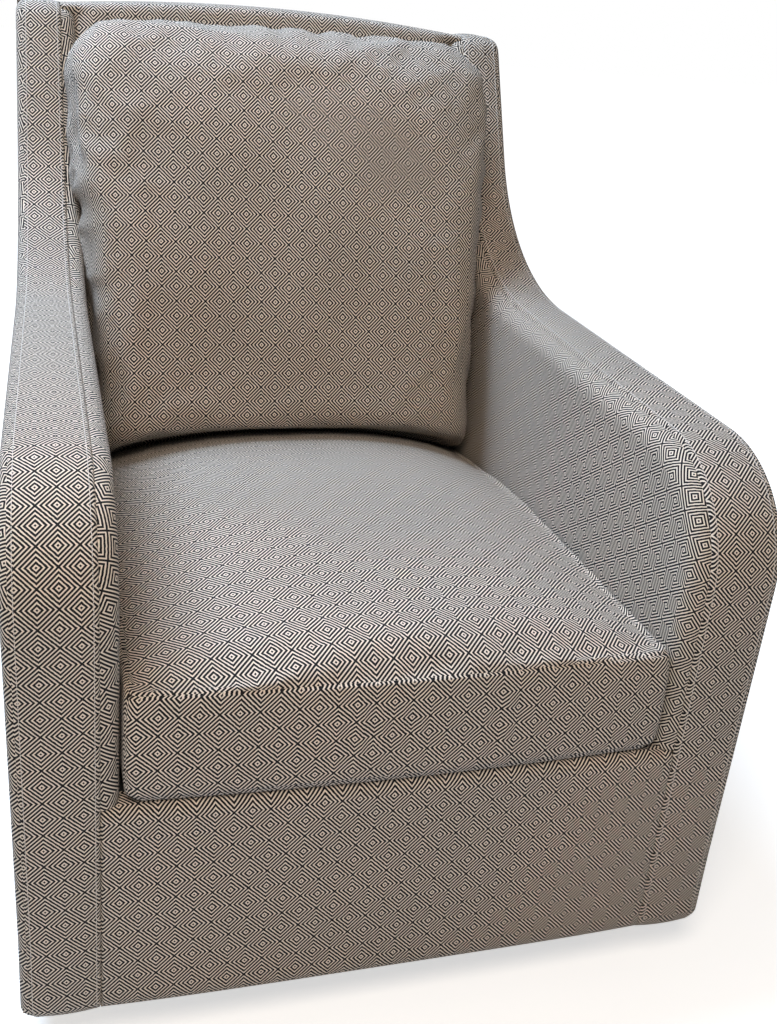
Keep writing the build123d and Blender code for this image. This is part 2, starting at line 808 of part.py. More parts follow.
def lower_swivel_plate():
    plate = disc(PLATE_R, lower_plate_z, PLATE) + race(lower_plate_z + PLATE, race_height)
    bolts = bolt_cutters(base_bolt_places(), lower_plate_z, lower_plate_z + PLATE)
    return plate - ball_groove() - disc(PIVOT_R, lower_plate_z, PLATE) - bolts


def upper_swivel_plate():
    plate = disc(PLATE_R, upper_plate_z, PLATE) + race(upper_plate_z - race_height, race_height)
    bolts = bolt_cutters(mount_bolt_places(), upper_plate_z, upper_plate_z + PLATE)
    return plate - ball_groove() - disc(PIVOT_R + PIVOT_FIT, upper_plate_z, PLATE) - bolts


def ball_cage():
    cage = race(ball_z - CAGE / 2, CAGE)
    pocket = disc(BALL_R + BALL_FIT, ball_z - CAGE / 2, CAGE)
    return cage - [place * pocket for place in around(BALL_COUNT, RACE_R)]


def bearing_balls():
    return [place * Pos(0, 0, ball_z) * Sphere(BALL_R) for place in around(BALL_COUNT, RACE_R)]


pivot_washer_z = mount_board_z + PIVOT_WASHER_GAP
pivot_nut_z = pivot_washer_z + PIVOT_WASHER


def pivot_pin():
    return disc(PIVOT_R, lower_plate_z, pivot_nut_z + PIVOT_NUT - lower_plate_z)


def pivot_washer():
    return disc(PIVOT_WASHER_R, pivot_washer_z, PIVOT_WASHER) - disc(PIVOT_R, pivot_washer_z, PIVOT_WASHER)


def hexagon(radius, low_z, height):
    return extrude(Plane.XY.offset(low_z) * RegularPolygon(radius, 6, major_radius=False), height)


def pivot_nut():
    return hexagon(PIVOT_NUT_R, pivot_nut_z, PIVOT_NUT) - disc(PIVOT_R, pivot_nut_z, PIVOT_NUT)


def bolt(low_z, high_z):
    """Hexagon bolt, head under low_z, shank up to high_z."""
    return hexagon(BOLT_HEAD_R, low_z - BOLT_HEAD, BOLT_HEAD) + disc(BOLT_R, low_z, high_z - low_z)


def nut(low_z):
    return hexagon(BOLT_HEAD_R, low_z, NUT) - disc(BOLT_R, low_z, NUT)


base_bolt_top = lower_plate_z + PLATE
mount_bolt_top = mount_board_z + MOUNT_BOARD_THICKNESS


def base_bolts():
    return [place * bolt(cross_z, base_bolt_top + NUT) for place in base_bolt_places()]


def base_nuts():
    return [place * nut(base_bolt_top) for place in base_bolt_places()]


def mount_bolts():
    return [place * bolt(upper_plate_z, mount_bolt_top + NUT) for place in mount_bolt_places()]


def mount_nuts():
    return [place * nut(mount_bolt_top) for place in mount_bolt_places()]


def mount_board():
    depth = MOUNT_BOARD_DEPTH / 2
    face = rectangle(-depth, depth, mount_board_z, mount_bolt_top)
    holes = bolt_cutters(mount_bolt_places(), mount_board_z, mount_bolt_top)
    return between_arms(face) - disc(PIVOT_HOLE_R, mount_board_z, MOUNT_BOARD_THICKNESS) - holes


def chair_parts():
    holes = screw_holes()
    parts = {
        "base_ring": base_ring(),
        "long_cross_bar": long_cross_bar(),
        "short_cross_bars": short_cross_bars(),
        "glides": glides(),
        "lower_swivel_plate": lower_swivel_plate(),
        "base_bolts": base_bolts(),
        "base_nuts": base_nuts(),
        "pivot_pin": pivot_pin(),
        "pivot_washer": pivot_washer(),
        "pivot_nut": pivot_nut(),
        "ball_cage": ball_cage(),
        "bearing_balls": bearing_balls(),
        "upper_swivel_plate": upper_swivel_plate(),
        "mount_board": mount_board(),
        "mount_bolts": mount_bolts(),
        "mount_nuts": mount_nuts(),
        "corner_blocks": corner_blocks(),
        "frame_screws": frame_screws(),
        "seat_springs": [seat_spring(x) for x in spring_places()],
        "spring_clips": spring_clips(),
        "back_straps": back_straps(),
        "seat_deck": seat_deck(),
        "front_dust_cover": front_dust_cover(),
        "rear_dust_cover": rear_dust_cover(),
        "front_border": front_border(),
        "inside_back_panel": inside_back_panel(),
        "outside_back_panel": outside_back_panel(),
        "seat_cushion_cover": seat_cushion_cover(),
        "seat_cushion_foam": seat_cushion_foam(),
        "seat_cushion_zip": seat_cushion_zip(),
        "back_cushion_cover": back_cushion_cover(),
        "back_cushion_fill": back_cushion_fill(),
        "back_cushion_zip": back_cushion_zip(),
    }
    for name, face in RAIL_FACES.items():
        parts[name] = between_arms(face) - holes
    arm_pieces = {
        "arm_band": arm_band(),
        "inside_arm_panel": inside_arm_panel(),
        "outside_arm_panel": outside_arm_panel(),
        "arm_inner_board": arm_inner_board() - holes,
        "arm_outer_board": arm_outer_board(),
        "front_post": front_post(),
        "arm_rail": arm_rail(),
        "wing_post": wing_post(),
        "arm_foot_rail": arm_foot_rail(),
    }
    for name, piece in arm_pieces.items():
        parts["right_" + name] = piece
        parts["left_" + name] = mirrored(piece)
    return parts


def main():
    os.makedirs("parts", exist_ok=True)
    for name, piece in chair_parts().items():
        pieces = piece if isinstance(piece, list) else [piece]
        solids = [solid for shape in pieces for solid in shape.solids()]
        export_step(Compound(children=solids), f"parts/{name}.step")


main()
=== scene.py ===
import json
from math import cos, pi, radians, sin, tan

import bmesh
import bpy
import numpy as np
from mathutils import Matrix, Vector

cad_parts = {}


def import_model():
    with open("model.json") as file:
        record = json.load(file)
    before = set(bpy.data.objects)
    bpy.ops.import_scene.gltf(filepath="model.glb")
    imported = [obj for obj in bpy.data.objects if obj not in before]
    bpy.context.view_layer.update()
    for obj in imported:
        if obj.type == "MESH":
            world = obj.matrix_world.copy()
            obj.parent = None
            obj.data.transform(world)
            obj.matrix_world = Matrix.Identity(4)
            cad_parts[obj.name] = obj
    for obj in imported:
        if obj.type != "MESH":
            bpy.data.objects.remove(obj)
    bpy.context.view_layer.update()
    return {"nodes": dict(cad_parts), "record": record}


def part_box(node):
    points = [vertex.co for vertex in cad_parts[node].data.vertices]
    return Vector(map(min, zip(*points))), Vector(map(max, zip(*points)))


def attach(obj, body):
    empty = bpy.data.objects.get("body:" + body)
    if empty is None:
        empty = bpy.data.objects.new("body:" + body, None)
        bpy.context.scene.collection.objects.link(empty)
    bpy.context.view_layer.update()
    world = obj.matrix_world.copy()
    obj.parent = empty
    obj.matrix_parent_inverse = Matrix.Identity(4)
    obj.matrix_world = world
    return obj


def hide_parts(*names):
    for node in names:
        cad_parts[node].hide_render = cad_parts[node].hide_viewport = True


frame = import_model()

# Camera of the photograph
CAMERA_PLACE = (-0.3779, -1.4029, 1.0393)
CAMERA_YAW = radians(19.7)
CAMERA_PITCH = radians(24.1)
CAMERA_ROLL = radians(-5.9)
IMAGE_WIDTH = 777
IMAGE_HEIGHT = 1024
FOCAL_PIXELS = 1279.3
OPTICAL_CENTRE = (406.9, 523.7)

# Side outline of the arms and the back
band_low, band_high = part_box("right_arm_band")
FRONT_Y = band_low.y
UNDER_Z = band_low.z
TOP_Z = band_high.z
NOSE_Z = 0.609
ARM_RISE = radians(2.5)
WING_TOP_Y = 0.380
WING_LEAN = radians(24.0)
BACK_TOP_Y = 0.4364
BACK_LEAN = radians(6.4)
NOSE_R = 0.130
SWEEP_R = 0.260
WING_TIP_R = 0.026
TOE_R = 0.022
ARCH_RISE = 0.014
INSIDE_BACK_Y = 0.386
INSIDE_BACK_LEAN = radians(14.0)
DECK_FRONT_Z = 0.298
DECK_SLOPE = radians(1.5)
BACK_EDGE = 0.010       # thickness of the outside back

# Plan of the arms: half width at the front, narrowing towards the back
INNER_SEAM = (0.295, 0.03)
INNER_FACE = (0.277, 0.03)
OUTER_SEAM = (0.370, 0.065)
OUTER_FACE = (0.378, 0.065)

# Woven pattern of nested diamonds
DIAMOND_WIDTH = 0.0360
DIAMOND_HEIGHT = 0.0366
# How each piece's cloth lies on the pattern: stretch across and along, shift across and along
PATTERN_CUT = {
    "left_arm_band_cover": (1.0025, 1.0375, 0.0316, 0.0008),
    "right_arm_band_cover": (0.98, 1.01, 0.0300, -0.0025),
    "left_inside_arm_cover": (0.96, 0.96, 0.0151, 0.0061),
    "right_inside_arm_cover": (0.975, 1.0525, 0.0167, -0.0028),
    "inside_back_cover": (1.0225, 1.0325, 0.0194, -0.0108),
    "front_border_cover": (1.0225, 0.995, 0.0144, 0.0095),
    "back_cushion": (1.035, 1.04, 0.0166, 0.0154),
    "seat_top": (0.9575, 0.90, 0.0045, -0.0007),
    "seat_boxing": (1.0, 0.995, 0.0090, 0.0089),
}


def arm_line_z(y):
    return NOSE_Z + (y - FRONT_Y) * tan(ARM_RISE)


def wing_line_y(z):
    return WING_TOP_Y - (TOP_Z - z) * tan(WING_LEAN)


def outside_back_y(z):
    return BACK_TOP_Y - (TOP_Z - z) * tan(BACK_LEAN)


def inside_back_y(z):
    return INSIDE_BACK_Y - (TOP_Z - z) * tan(INSIDE_BACK_LEAN)


def deck_z(y):
    return DECK_FRONT_Z - (y - FRONT_Y) * tan(DECK_SLOPE)


def half_width(plane, y):
    front, taper = plane
    return front - taper * (y - FRONT_Y)


def sweep_corner():
    """Where the arm's top line meets the wing line."""
    rise = tan(ARM_RISE)
    lean = tan(WING_LEAN)
    y = (wing_line_y(0.0) + lean * (NOSE_Z - FRONT_Y * rise)) / (1.0 - lean * rise)
    return (y, arm_line_z(y))


# Lines and grids
def unit(vector):
    return vector / np.linalg.norm(vector)


def evenly(points, step):
    """The same line with points a step apart, and their distances along it."""
    points = np.asarray(points, float)
    lengths = np.concatenate([[0.0], np.cumsum(np.linalg.norm(np.diff(points, axis=0), axis=1))])
    count = max(2, int(round(lengths[-1] / step)) + 1)
    wanted = np.linspace(0.0, lengths[-1], count)
    columns = [np.interp(wanted, lengths, points[:, n]) for n in range(points.shape[1])]
    return np.stack(columns, axis=1), wanted


def rounded_line(corners, radii, step):
    """An open side-view line with rounded corners, given a radius for each corner."""
    corners = [np.array(corner, float) for corner in corners]
    points = [corners[0]]
    for n in range(1, len(corners) - 1):
        back = unit(corners[n - 1] - corners[n])
        ahead = unit(corners[n + 1] - corners[n])
        half_angle = np.arccos(np.clip(back @ ahead, -1.0, 1.0)) / 2
        reach = radii[n] / tan(half_angle)
        centre = corners[n] + unit(back + ahead) * radii[n] / sin(half_angle)
        start = corners[n] + back * reach - centre
        end = corners[n] + ahead * reach - centre
        turn = pi - 2 * half_angle
        for share in np.linspace(0.0, 1.0, 40):
            arm = (sin((1 - share) * turn) * start + sin(share * turn) * end) / sin(turn)
            points.append(centre + arm)
    points.append(corners[-1])
    return evenly(points, step)


def outward(points):
    """Unit normals of a side-view line, to its left."""
    along = np.gradient(points, axis=0)
    along /= np.linalg.norm(along, axis=1)[:, None]
    return np.stack([-along[:, 1], along[:, 0]], axis=1)


def raised(x, line, normals, lift):
    """Places of a side-view line across the chair at x, moved out along its normals."""
    y = line[:, 0] + normals[:, 0] * lift
    z = line[:, 1] + normals[:, 1] * lift
    return np.stack([np.broadcast_to(x, y.shape), y, z], axis=1)


def arm_outline(step, start_z):
    """The arm's side outline, from its front foot over the nose and up the wing to the back."""
    corners = [
        (FRONT_Y + 2 * TOE_R, UNDER_Z),
        (FRONT_Y, UNDER_Z),
        (FRONT_Y, arm_line_z(FRONT_Y)),
        sweep_corner(),
        (wing_line_y(TOP_Z), TOP_Z),
        (outside_back_y(TOP_Z) - BACK_EDGE, TOP_Z),
    ]
    radii = [0.0, TOE_R, NOSE_R, SWEEP_R, WING_TIP_R, 0.0]
    if start_z is not None:
        corners = [(FRONT_Y, start_z)] + corners[2:]
        radii = [0.0] + radii[2:]
    return rounded_line(corners, radii, step)


def cut(cloth, name):
    """Cloth coordinates where this piece was cut from the pattern."""
    across, along, shift_across, shift_along = PATTERN_CUT.get(name, (1.0, 1.0, 0.0, 0.0))
    return cloth * np.array([across, along]) + np.array([shift_across, shift_along])


def new_object(name, data):
    made = bpy.data.objects.new(name, data)
    bpy.context.scene.collection.objects.link(made)
    return made


def mesh_object(name, grids, material, weld=True):
    """One smooth object from grids of places and cloth coordinates, joined where their edges meet."""
    verts, faces, uvs = [], [], []
    offset = 0
    for places, cloth in grids:
        rows, cols = places.shape[:2]
        verts.append(places.reshape(-1, 3))
        index = np.arange(rows * cols).reshape(rows, cols) + offset
        quads = np.stack([index[:-1, :-1], index[:-1, 1:], index[1:, 1:], index[1:, :-1]], axis=-1)
        faces.append(quads.reshape(-1, 4))
        uvs.append(cloth.reshape(-1, 2))
        offset += rows * cols
    verts, faces = np.concatenate(verts), np.concatenate(faces)
    uvs = cut(np.concatenate(uvs), name)
    mesh = bpy.data.meshes.new(name)
    mesh.from_pydata(verts.tolist(), [], faces.tolist())
    layer = mesh.uv_layers.new(name="cloth")
    layer.data.foreach_set("uv", uvs[faces.reshape(-1)].astype(np.float32).reshape(-1))
    made = new_object(name, mesh)
    if weld:
        weld_edges(made)
    mesh.polygons.foreach_set("use_smooth", [True] * len(mesh.polygons))
    mesh.materials.append(material)
    return made


def weld_edges(made, distance=0.0002):
    work = bmesh.new()
    work.from_mesh(made.data)
    bmesh.ops.remove_doubles(work, verts=work.verts, dist=distance)
    bmesh.ops.recalc_face_normals(work, faces=work.faces)
    work.to_mesh(made.data)
    work.free()


def mirrored_grids(grids):
    """The same grids on the other side of the chair, the pattern mirrored with them."""
    flipped = []
    for places, cloth in grids:
        places = places[:, ::-1].copy()
        places[..., 0] *= -1.0
        cloth = cloth[:, ::-1].copy()
        cloth[..., 0] *= -1.0
        flipped.append((places, cloth))
    return flipped


# Materials
class Nodes:
    """Short calls for building a material's node tree."""

    def __init__(self, name):
        self.material = bpy.data.materials.new(name)
        self.material.use_nodes = True
        self.tree = self.material.node_tree
        self.shader = self.tree.nodes["Principled BSDF"]

    def add(self, kind, **settings):
        node = self.tree.nodes.new(kind)
        for key, value in settings.items():
            setattr(node, key, value)
        return node

    def link(self, source, target):
        self.tree.links.new(source, target)

    def math(self, operation, first, second=None):
        node = self.add("ShaderNodeMath", operation=operation)
        for socket, value in zip(node.inputs, (first, second)):
            if value is None:
                continue
            if isinstance(value, (int, float)):
                socket.default_value = value
            else:
                self.link(value, socket)
        return node.outputs[0]

    def mix(self, share, first, second):
        node = self.add("ShaderNodeMix", data_type="RGBA")
        for socket, value in ((node.inputs[0], share), (node.inputs[6], first), (node.inputs[7], second)):
            if isinstance(value, tuple):
                socket.default_value = value + (1.0,)
            elif isinstance(value, float):
                socket.default_value = value
            else:
                self.link(value, socket)
        return node.outputs[2]

    def place(self):
        """Coordinates on the object itself."""
        return self.add("ShaderNodeTexCoord").outputs["Object"]

    def colour(self, share, first, second):
        self.link(self.mix(share, first, second), self.shader.inputs["Base Color"])

    def roughness(self, value, spread, least):
        """Roughness that varies with a value of 0 to 1."""
        varied = self.math("ADD", self.math("MULTIPLY", value, spread), least)
        self.link(varied, self.shader.inputs["Roughness"])

    def noise(self, scale, detail=2.0, vector=None):
        node = self.add("ShaderNodeTexNoise")
        node.inputs["Scale"].default_value = scale
        node.inputs["Detail"].default_value = detail
        if vector is None:
            vector = self.place()
        self.link(vector, node.inputs["Vector"])
        return node.outputs["Fac"]

    def ramp(self, value, low, high):
        node = self.add("ShaderNodeMapRange", interpolation_type="SMOOTHSTEP")
        node.inputs["From Min"].default_value = low
        node.inputs["From Max"].default_value = high
        self.link(value, node.inputs["Value"])
        return node.outputs["Result"]

    def bump(self, height, strength, distance):
        node = self.add("ShaderNodeBump")
        node.inputs["Strength"].default_value = strength
        node.inputs["Distance"].default_value = distance
        self.link(height, node.inputs["Height"])
        self.link(node.outputs["Normal"], self.shader.inputs["Normal"])

    def set(self, **values):
        for key, value in values.items():
            self.shader.inputs[key.replace("_", " ")].default_value = value


CREAM = (0.82, 0.70, 0.585)
BLACK = (0.010, 0.009, 0.010)
FADED_CREAM = (0.77, 0.675, 0.57)
FUZZY_CREAM = (0.60, 0.515, 0.43)
FUZZY_BLACK = (0.024, 0.022, 0.023)
RINGS = 8.0             # dark lines from edge to edge of a diamond
LINE_EDGE = (0.315, 0.265)
WOBBLE = 0.0007         # how far the weave strays
YARN = 0.0011           # width of one thread


def diamond_fabric():
    n = Nodes("diamond_fabric")
    cloth = n.add("ShaderNodeUVMap", uv_map="cloth").outputs["UV"]
    split = n.add("ShaderNodeSeparateXYZ")
    n.link(cloth, split.inputs[0])
    wobble = n.math("MULTIPLY", n.math("SUBTRACT", n.noise(260.0, 1.0, cloth), 0.5), WOBBLE)
    across = n.math("DIVIDE", n.math("ADD", split.outputs["X"], wobble), DIAMOND_WIDTH)
    along = n.math("DIVIDE", n.math("ADD", split.outputs["Y"], wobble), DIAMOND_HEIGHT)

    def off_middle(value):
        """Distance from the middle of its cell, 0 to 0.5."""
        return n.math("ABSOLUTE", n.math("SUBTRACT", n.math("FRACT", value), 0.5))

    rising = off_middle(n.math("ADD", across, along))
    falling = off_middle(n.math("SUBTRACT", across, along))
    ring = n.math("MULTIPLY", n.math("MAXIMUM", rising, falling), RINGS)
    near_line = n.math("ABSOLUTE", n.math("SUBTRACT", n.math("FRACT", n.math("ADD", ring, 0.5)), 0.5))
    dark = n.ramp(near_line, *LINE_EDGE)

    yarns_across = n.math("ABSOLUTE", n.math("SINE", n.math("MULTIPLY", split.outputs["X"], pi / YARN)))
    yarns_along = n.math("ABSOLUTE", n.math("SINE", n.math("MULTIPLY", split.outputs["Y"], pi / YARN)))
    weave = n.math("MULTIPLY", yarns_across, yarns_along)
    fuzz = n.noise(900.0, 3.0, cloth)
    patches = n.noise(7.0, 3.0)
    pale = n.mix(n.ramp(patches, 0.3, 0.7), CREAM, FADED_CREAM)
    pale = n.mix(n.math("MULTIPLY", n.ramp(fuzz, 0.35, 0.75), 0.18), pale, FUZZY_CREAM)
    black = n.mix(n.math("MULTIPLY", fuzz, 0.6), BLACK, FUZZY_BLACK)
    n.colour(dark, pale, black)
    height = n.math("ADD", n.math("MULTIPLY", weave, 0.6), n.math("MULTIPLY", dark, -0.5))
    n.bump(n.math("ADD", height, n.math("MULTIPLY", fuzz, 0.4)), 0.16, 0.0006)
    n.set(Roughness=0.9, Sheen_Weight=0.06, Sheen_Roughness=0.5, Specular_IOR_Level=0.15)
    return n.material


def thread():
    n = Nodes("topstitch_thread")
    twist = n.add("ShaderNodeTexWave")
    twist.inputs["Scale"].default_value = 900.0
    n.link(n.place(), twist.inputs["Vector"])
    n.colour(twist.outputs["Fac"], (0.66, 0.62, 0.57), (0.52, 0.48, 0.44))
    n.bump(twist.outputs["Fac"], 0.3, 0.0002)
    n.set(Roughness=0.7, Sheen_Weight=0.2)
    return n.material


def wood():
    n = Nodes("frame_wood")
    place = n.place()
    stretch = n.add("ShaderNodeMapping")
    stretch.inputs["Scale"].default_value = (3.0, 28.0, 28.0)
    n.link(place, stretch.inputs["Vector"])
    grain = n.noise(3.0, 6.0, stretch.outputs["Vector"])
    n.colour(n.ramp(grain, 0.35, 0.65), (0.52, 0.36, 0.20), (0.36, 0.23, 0.12))
    n.bump(grain, 0.25, 0.0008)
    n.set(Roughness=0.6)
    return n.material


def painted_steel():
    n = Nodes("base_paint")
    texture = n.noise(420.0, 3.0)
    worn = n.ramp(n.noise(18.0, 4.0), 0.60, 0.75)
    n.colour(worn, (0.016, 0.016, 0.017), (0.045, 0.044, 0.043))
    n.roughness(texture, 0.25, 0.32)
    n.bump(texture, 0.2, 0.0003)
    n.set(Metallic=0.2)
    return n.material


def bare_steel():
    n = Nodes("zinc_steel")
    patches = n.noise(60.0, 4.0)
    n.colour(patches, (0.60, 0.60, 0.58), (0.42, 0.42, 0.41))
    n.roughness(patches, 0.25, 0.22)
    n.bump(n.noise(700.0, 2.0), 0.08, 0.0002)
    n.set(Metallic=1.0)
    return n.material


def moulded_plastic():
    n = Nodes("glide_plastic")
    grain = n.noise(1400.0, 2.0)
    n.colour(n.noise(30.0), (0.022, 0.022, 0.023), (0.034, 0.034, 0.035))
    n.roughness(grain, 0.2, 0.38)
    n.bump(grain, 0.15, 0.0002)
    return n.material


def lining_cloth():
    n = Nodes("lining_cloth")
    fibres = n.noise(1100.0, 4.0)
    n.colour(fibres, (0.030, 0.030, 0.032), (0.060, 0.059, 0.060))
    n.bump(fibres, 0.4, 0.0005)
    n.set(Roughness=0.92, Sheen_Weight=0.1)
    return n.material


def zip_tape():
    n = Nodes("zip_tape")
    rows = n.add("ShaderNodeTexWave", bands_direction="X")
    rows.inputs["Scale"].default_value = 160.0
    n.link(n.place(), rows.inputs["Vector"])
    n.colour(rows.outputs["Fac"], (0.030, 0.029, 0.030), (0.10, 0.098, 0.096))
    n.bump(rows.outputs["Fac"], 0.6, 0.0008)
    n.set(Roughness=0.55)
    return n.material


FABRIC = diamond_fabric()
THREAD = thread()
LINING = lining_cloth()


def dress(piece, body, slot, *nodes, fill=None):
    """A modelled piece rides on its body and stands for its CAD nodes."""
    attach(piece, body)
    if nodes:
        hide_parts(*nodes)


def both_arms(cover, node, grids, fill):
    """The same cover on the right arm and, mirrored, on the left."""
    for side, own in (("right", grids), ("left", mirrored_grids(grids))):
        made = mesh_object(side + cover, own, FABRIC)
        dress(made, "chair", "cover_fabric", side + node, fill=fill)


# Topstitching: short stitches, partly sunk in the cloth
STITCH_PITCH = 0.0036
STITCH_LENGTH = 0.0030
STITCH_R = 0.00045
STITCH_PROUD = 0.3      # share of the radius that its axis lies above the cloth
STITCH_SAMPLING = 0.001


def stitches(name, lines, body):
    """Stitches along lines of places, each with the cloth's normals."""
    verts, faces = [], []
    sides = 6
    rings = [(-0.5, 0.35), (-0.25, 0.95), (0.25, 0.95), (0.5, 0.35)]
    for places, normals in lines:
        both, _ = evenly(np.concatenate([places, normals], axis=1), STITCH_SAMPLING)
        run = run_along(both[:, :3], 0)
        for n in range(int(run[-1] / STITCH_PITCH)):
            middle = (n + 0.5) * STITCH_PITCH
            ends = []
            for along in (middle - STITCH_LENGTH / 2, middle, middle + STITCH_LENGTH / 2):
                ends.append([np.interp(along, run, both[:, k]) for k in range(6)])
            ends = np.array(ends)
            axis = ends[2, :3] - ends[0, :3]
            up = unit(ends[1, 3:])
            side = unit(np.cross(axis, up))
            first = len(verts)
            for share, wide in rings:
                centre = ends[1, :3] + axis * share + up * STITCH_R * STITCH_PROUD
                for k in range(sides):
                    turn = 2 * pi * k / sides
                    verts.append(centre + (side * cos(turn) + up * sin(turn)) * STITCH_R * wide)
            for r in range(len(rings) - 1):
                for k in range(sides):
                    a = first + r * sides + k
                    b = first + r * sides + (k + 1) % sides
                    faces.append((a, b, b + sides, a + sides))
            faces.append(tuple(range(first + sides - 1, first - 1, -1)))
            last = first + (len(rings) - 1) * sides
            faces.append(tuple(range(last, last + sides)))
    mesh = bpy.data.meshes.new(name)
    mesh.from_pydata([tuple(v) for v in verts], [], faces)
    mesh.polygons.foreach_set("use_smooth", [True] * len(mesh.polygons))
    mesh.materials.append(THREAD)
    made = new_object(name, mesh)
    dress(made, body, "cover_fabric")


def mirrored_lines(lines):
    flip = np.array([-1.0, 1.0, 1.0])
    return [(places * flip, normals * flip) for places, normals in lines]


# Arm bands
BAND_CROWN = 0.0022
INNER_DIP = 0.0036      # depth of the seams along the band's edges
OUTER_DIP = 0.0012
SEAM_ROLL = 0.0022      # width over which cloth turns into a seam
STITCH_IN = 0.0050      # from the seams to the rows of stitches
OUTER_STITCH_IN = 0.0042
PANEL_STEP = 0.006
HEM_R = 0.008
CORNER_R = 0.020
CORNER_START = 0.006    # behind the front, where the corner's radius begins to fade to the hem's
CORNER_FADE = 0.010
SIDE_TAPER = 0.0060
TAPER_TOP_Z = 0.55
TAPER_HEIGHT = 0.40


def seam_dip(distance, dip):
    """How far cloth sinks towards a seam that is this far away."""
    near = np.clip(1.0 - distance / SEAM_ROLL, 0.0, 1.0)
    return -dip * near ** 2


def turn_in(z, radius):
    """How far a face turns in towards the lower edge."""
    low = np.clip(1.0 - (z - UNDER_Z) / radius, 0.0, 1.0)
    return radius * (1.0 - np.sqrt(1.0 - low ** 2))


def hem_inset(y, z):
    """How far the outer side turns in towards the lower edge, more so at the front corner."""
    at_front = np.clip(1.0 - (y - FRONT_Y - CORNER_START) / CORNER_FADE, 0.0, 1.0)
    return turn_in(z, HEM_R) * (1.0 - at_front) + turn_in(z, CORNER_R) * at_front


def side_taper(z):
    """How far the arm's outer side leans in towards the floor."""
    return SIDE_TAPER * np.clip((TAPER_TOP_Z - z) / TAPER_HEIGHT, 0.0, 1.0)


def band_surface(outline, normals, run, share):
    """Places and cloth coordinates of the band at a share of its width."""
    y = outline[:, 0]
    inner = half_width(INNER_SEAM, y)
    full = half_width(OUTER_SEAM, y) - side_taper(outline[:, 1])
    outer = full - turn_in(outline[:, 1], CORNER_R)
    x = inner + (outer - inner) * share
    lift = BAND_CROWN * (1.0 - (2.0 * share - 1.0) ** 2)
    lift = lift + seam_dip(x - inner, INNER_DIP) + seam_dip(outer - x, OUTER_DIP)
    places = raised(x, outline, normals, lift)
    cloth = np.stack([x - (inner + half_width(OUTER_SEAM, y)) / 2, run], axis=1)
    return places, cloth


def band_shares():
    edge = np.array([0.0, 0.012, 0.03, 0.055, 0.09, 0.14])
    return np.concatenate([edge, np.linspace(0.2, 0.8, 13), 1.0 - edge[::-1]])


def arm_bands():
    outline, run = arm_outline(PANEL_STEP, None)
    normals = outward(outline)
    rows = [band_surface(outline, normals, run, share) for share in band_shares()]
    grid = (np.stack([r[0] for r in rows]), np.stack([r[1] for r in rows]))
    both_arms("_arm_band_cover", "_arm_band", [grid], fill=0.8)
    lines = []
    width = half_width(OUTER_SEAM, outline[:, 0]) - half_width(INNER_SEAM, outline[:, 0])
    face = np.stack([np.zeros(len(outline)), normals[:, 0], normals[:, 1]], axis=1)
    for share in (STITCH_IN / width, 1.0 - OUTER_STITCH_IN / width):
        lines.append((band_surface(outline, normals, run, share)[0], face))
    stitches("right_band_topstitch", lines, "chair")
    stitches("left_band_topstitch", mirrored_lines(lines), "chair")


# Panels on the arms' sides, spread from the band's seam over the whole side
ROLL_SHARES = (0.0, 0.004, 0.012, 0.03, 0.07, 0.13, 0.22, 0.34, 0.5, 0.7, 1.0)
ROLL_EASE = 0.003       # flat cloth next to the roll
INSIDE_PAD = 0.018
INSIDE_ROLL = 0.020
INSIDE_ARM_TURN = radians(9.0)
INSIDE_ARM_REAR_Y = 0.23
BACK_LAP = 0.004        # how far the inside arms reach behind the inside back
OUTSIDE_PAD = 0.008
OUTSIDE_ROLL = 0.012
OUTSIDE_EASE = 0.005
TOE_FADE = 0.08


def quarter_round(inset, roll):
    near = 1.0 - np.clip(inset / roll, 0.0, 1.0)
    return np.sqrt(1.0 - near ** 2)


def roll_length(inset, roll, pad):
    """Length of cloth from the seam to this inset."""
    steps = np.linspace(0.0, min(inset, roll), 30)
    length = np.hypot(np.diff(steps), pad * np.diff(quarter_round(steps, roll))).sum()
    return length + max(0.0, inset - roll)


def side_panel(outline, floor_line, plane, dip, pad, roll):
    """A padded side: rolls up from the band's seam, then spreads flat down to the floor line."""
    normals = outward(outline)
    insets = np.concatenate([np.array(ROLL_SHARES) * roll, [roll + ROLL_EASE]])
    core = outline - normals * (dip + insets[-1])
    rolled_out = roll_length(roll, roll, abs(pad))
    places, cloth = [], []
    for inset in insets:
        flat = outline - normals * (dip + inset)
        x = half_width(plane, flat[:, 0]) + pad * quarter_round(inset, roll)
        places.append(np.stack([x, flat[:, 0], flat[:, 1]], axis=1))
        spread = rolled_out - roll_length(inset, roll, abs(pad))
        cloth.append(outline + normals * (spread - dip - roll))
    for share in np.linspace(0.0, 1.0, 36)[1:]:
        flat = core + (floor_line - core) * share
        places.append(np.stack([half_width(plane, flat[:, 0]) + pad, flat[:, 0], flat[:, 1]], axis=1))
        cloth.append(flat)
    return np.stack(places), np.stack(cloth)


def inside_arms():
    outline, _ = arm_outline(PANEL_STEP, DECK_FRONT_Z)
    keep = outline[:, 0] < inside_back_y(outline[:, 1]) + BACK_LAP
    outline = outline[keep]
    front_y = FRONT_Y + INNER_DIP + INSIDE_ROLL + ROLL_EASE
    rear_y = inside_back_y(deck_z(INSIDE_ARM_REAR_Y)) + BACK_LAP
    share = np.linspace(0.0, 1.0, len(outline)) ** 1.5
    floor_y = front_y + (rear_y - front_y) * share
    floor_line = np.stack([floor_y, deck_z(floor_y)], axis=1)
    places, cloth = side_panel(outline, floor_line, INNER_SEAM, INNER_DIP, -INSIDE_PAD, INSIDE_ROLL)
    cloth = turned(cloth, INSIDE_ARM_TURN)
    both_arms("_inside_arm_cover", "_inside_arm_panel", [(places, cloth)], fill=0.7)


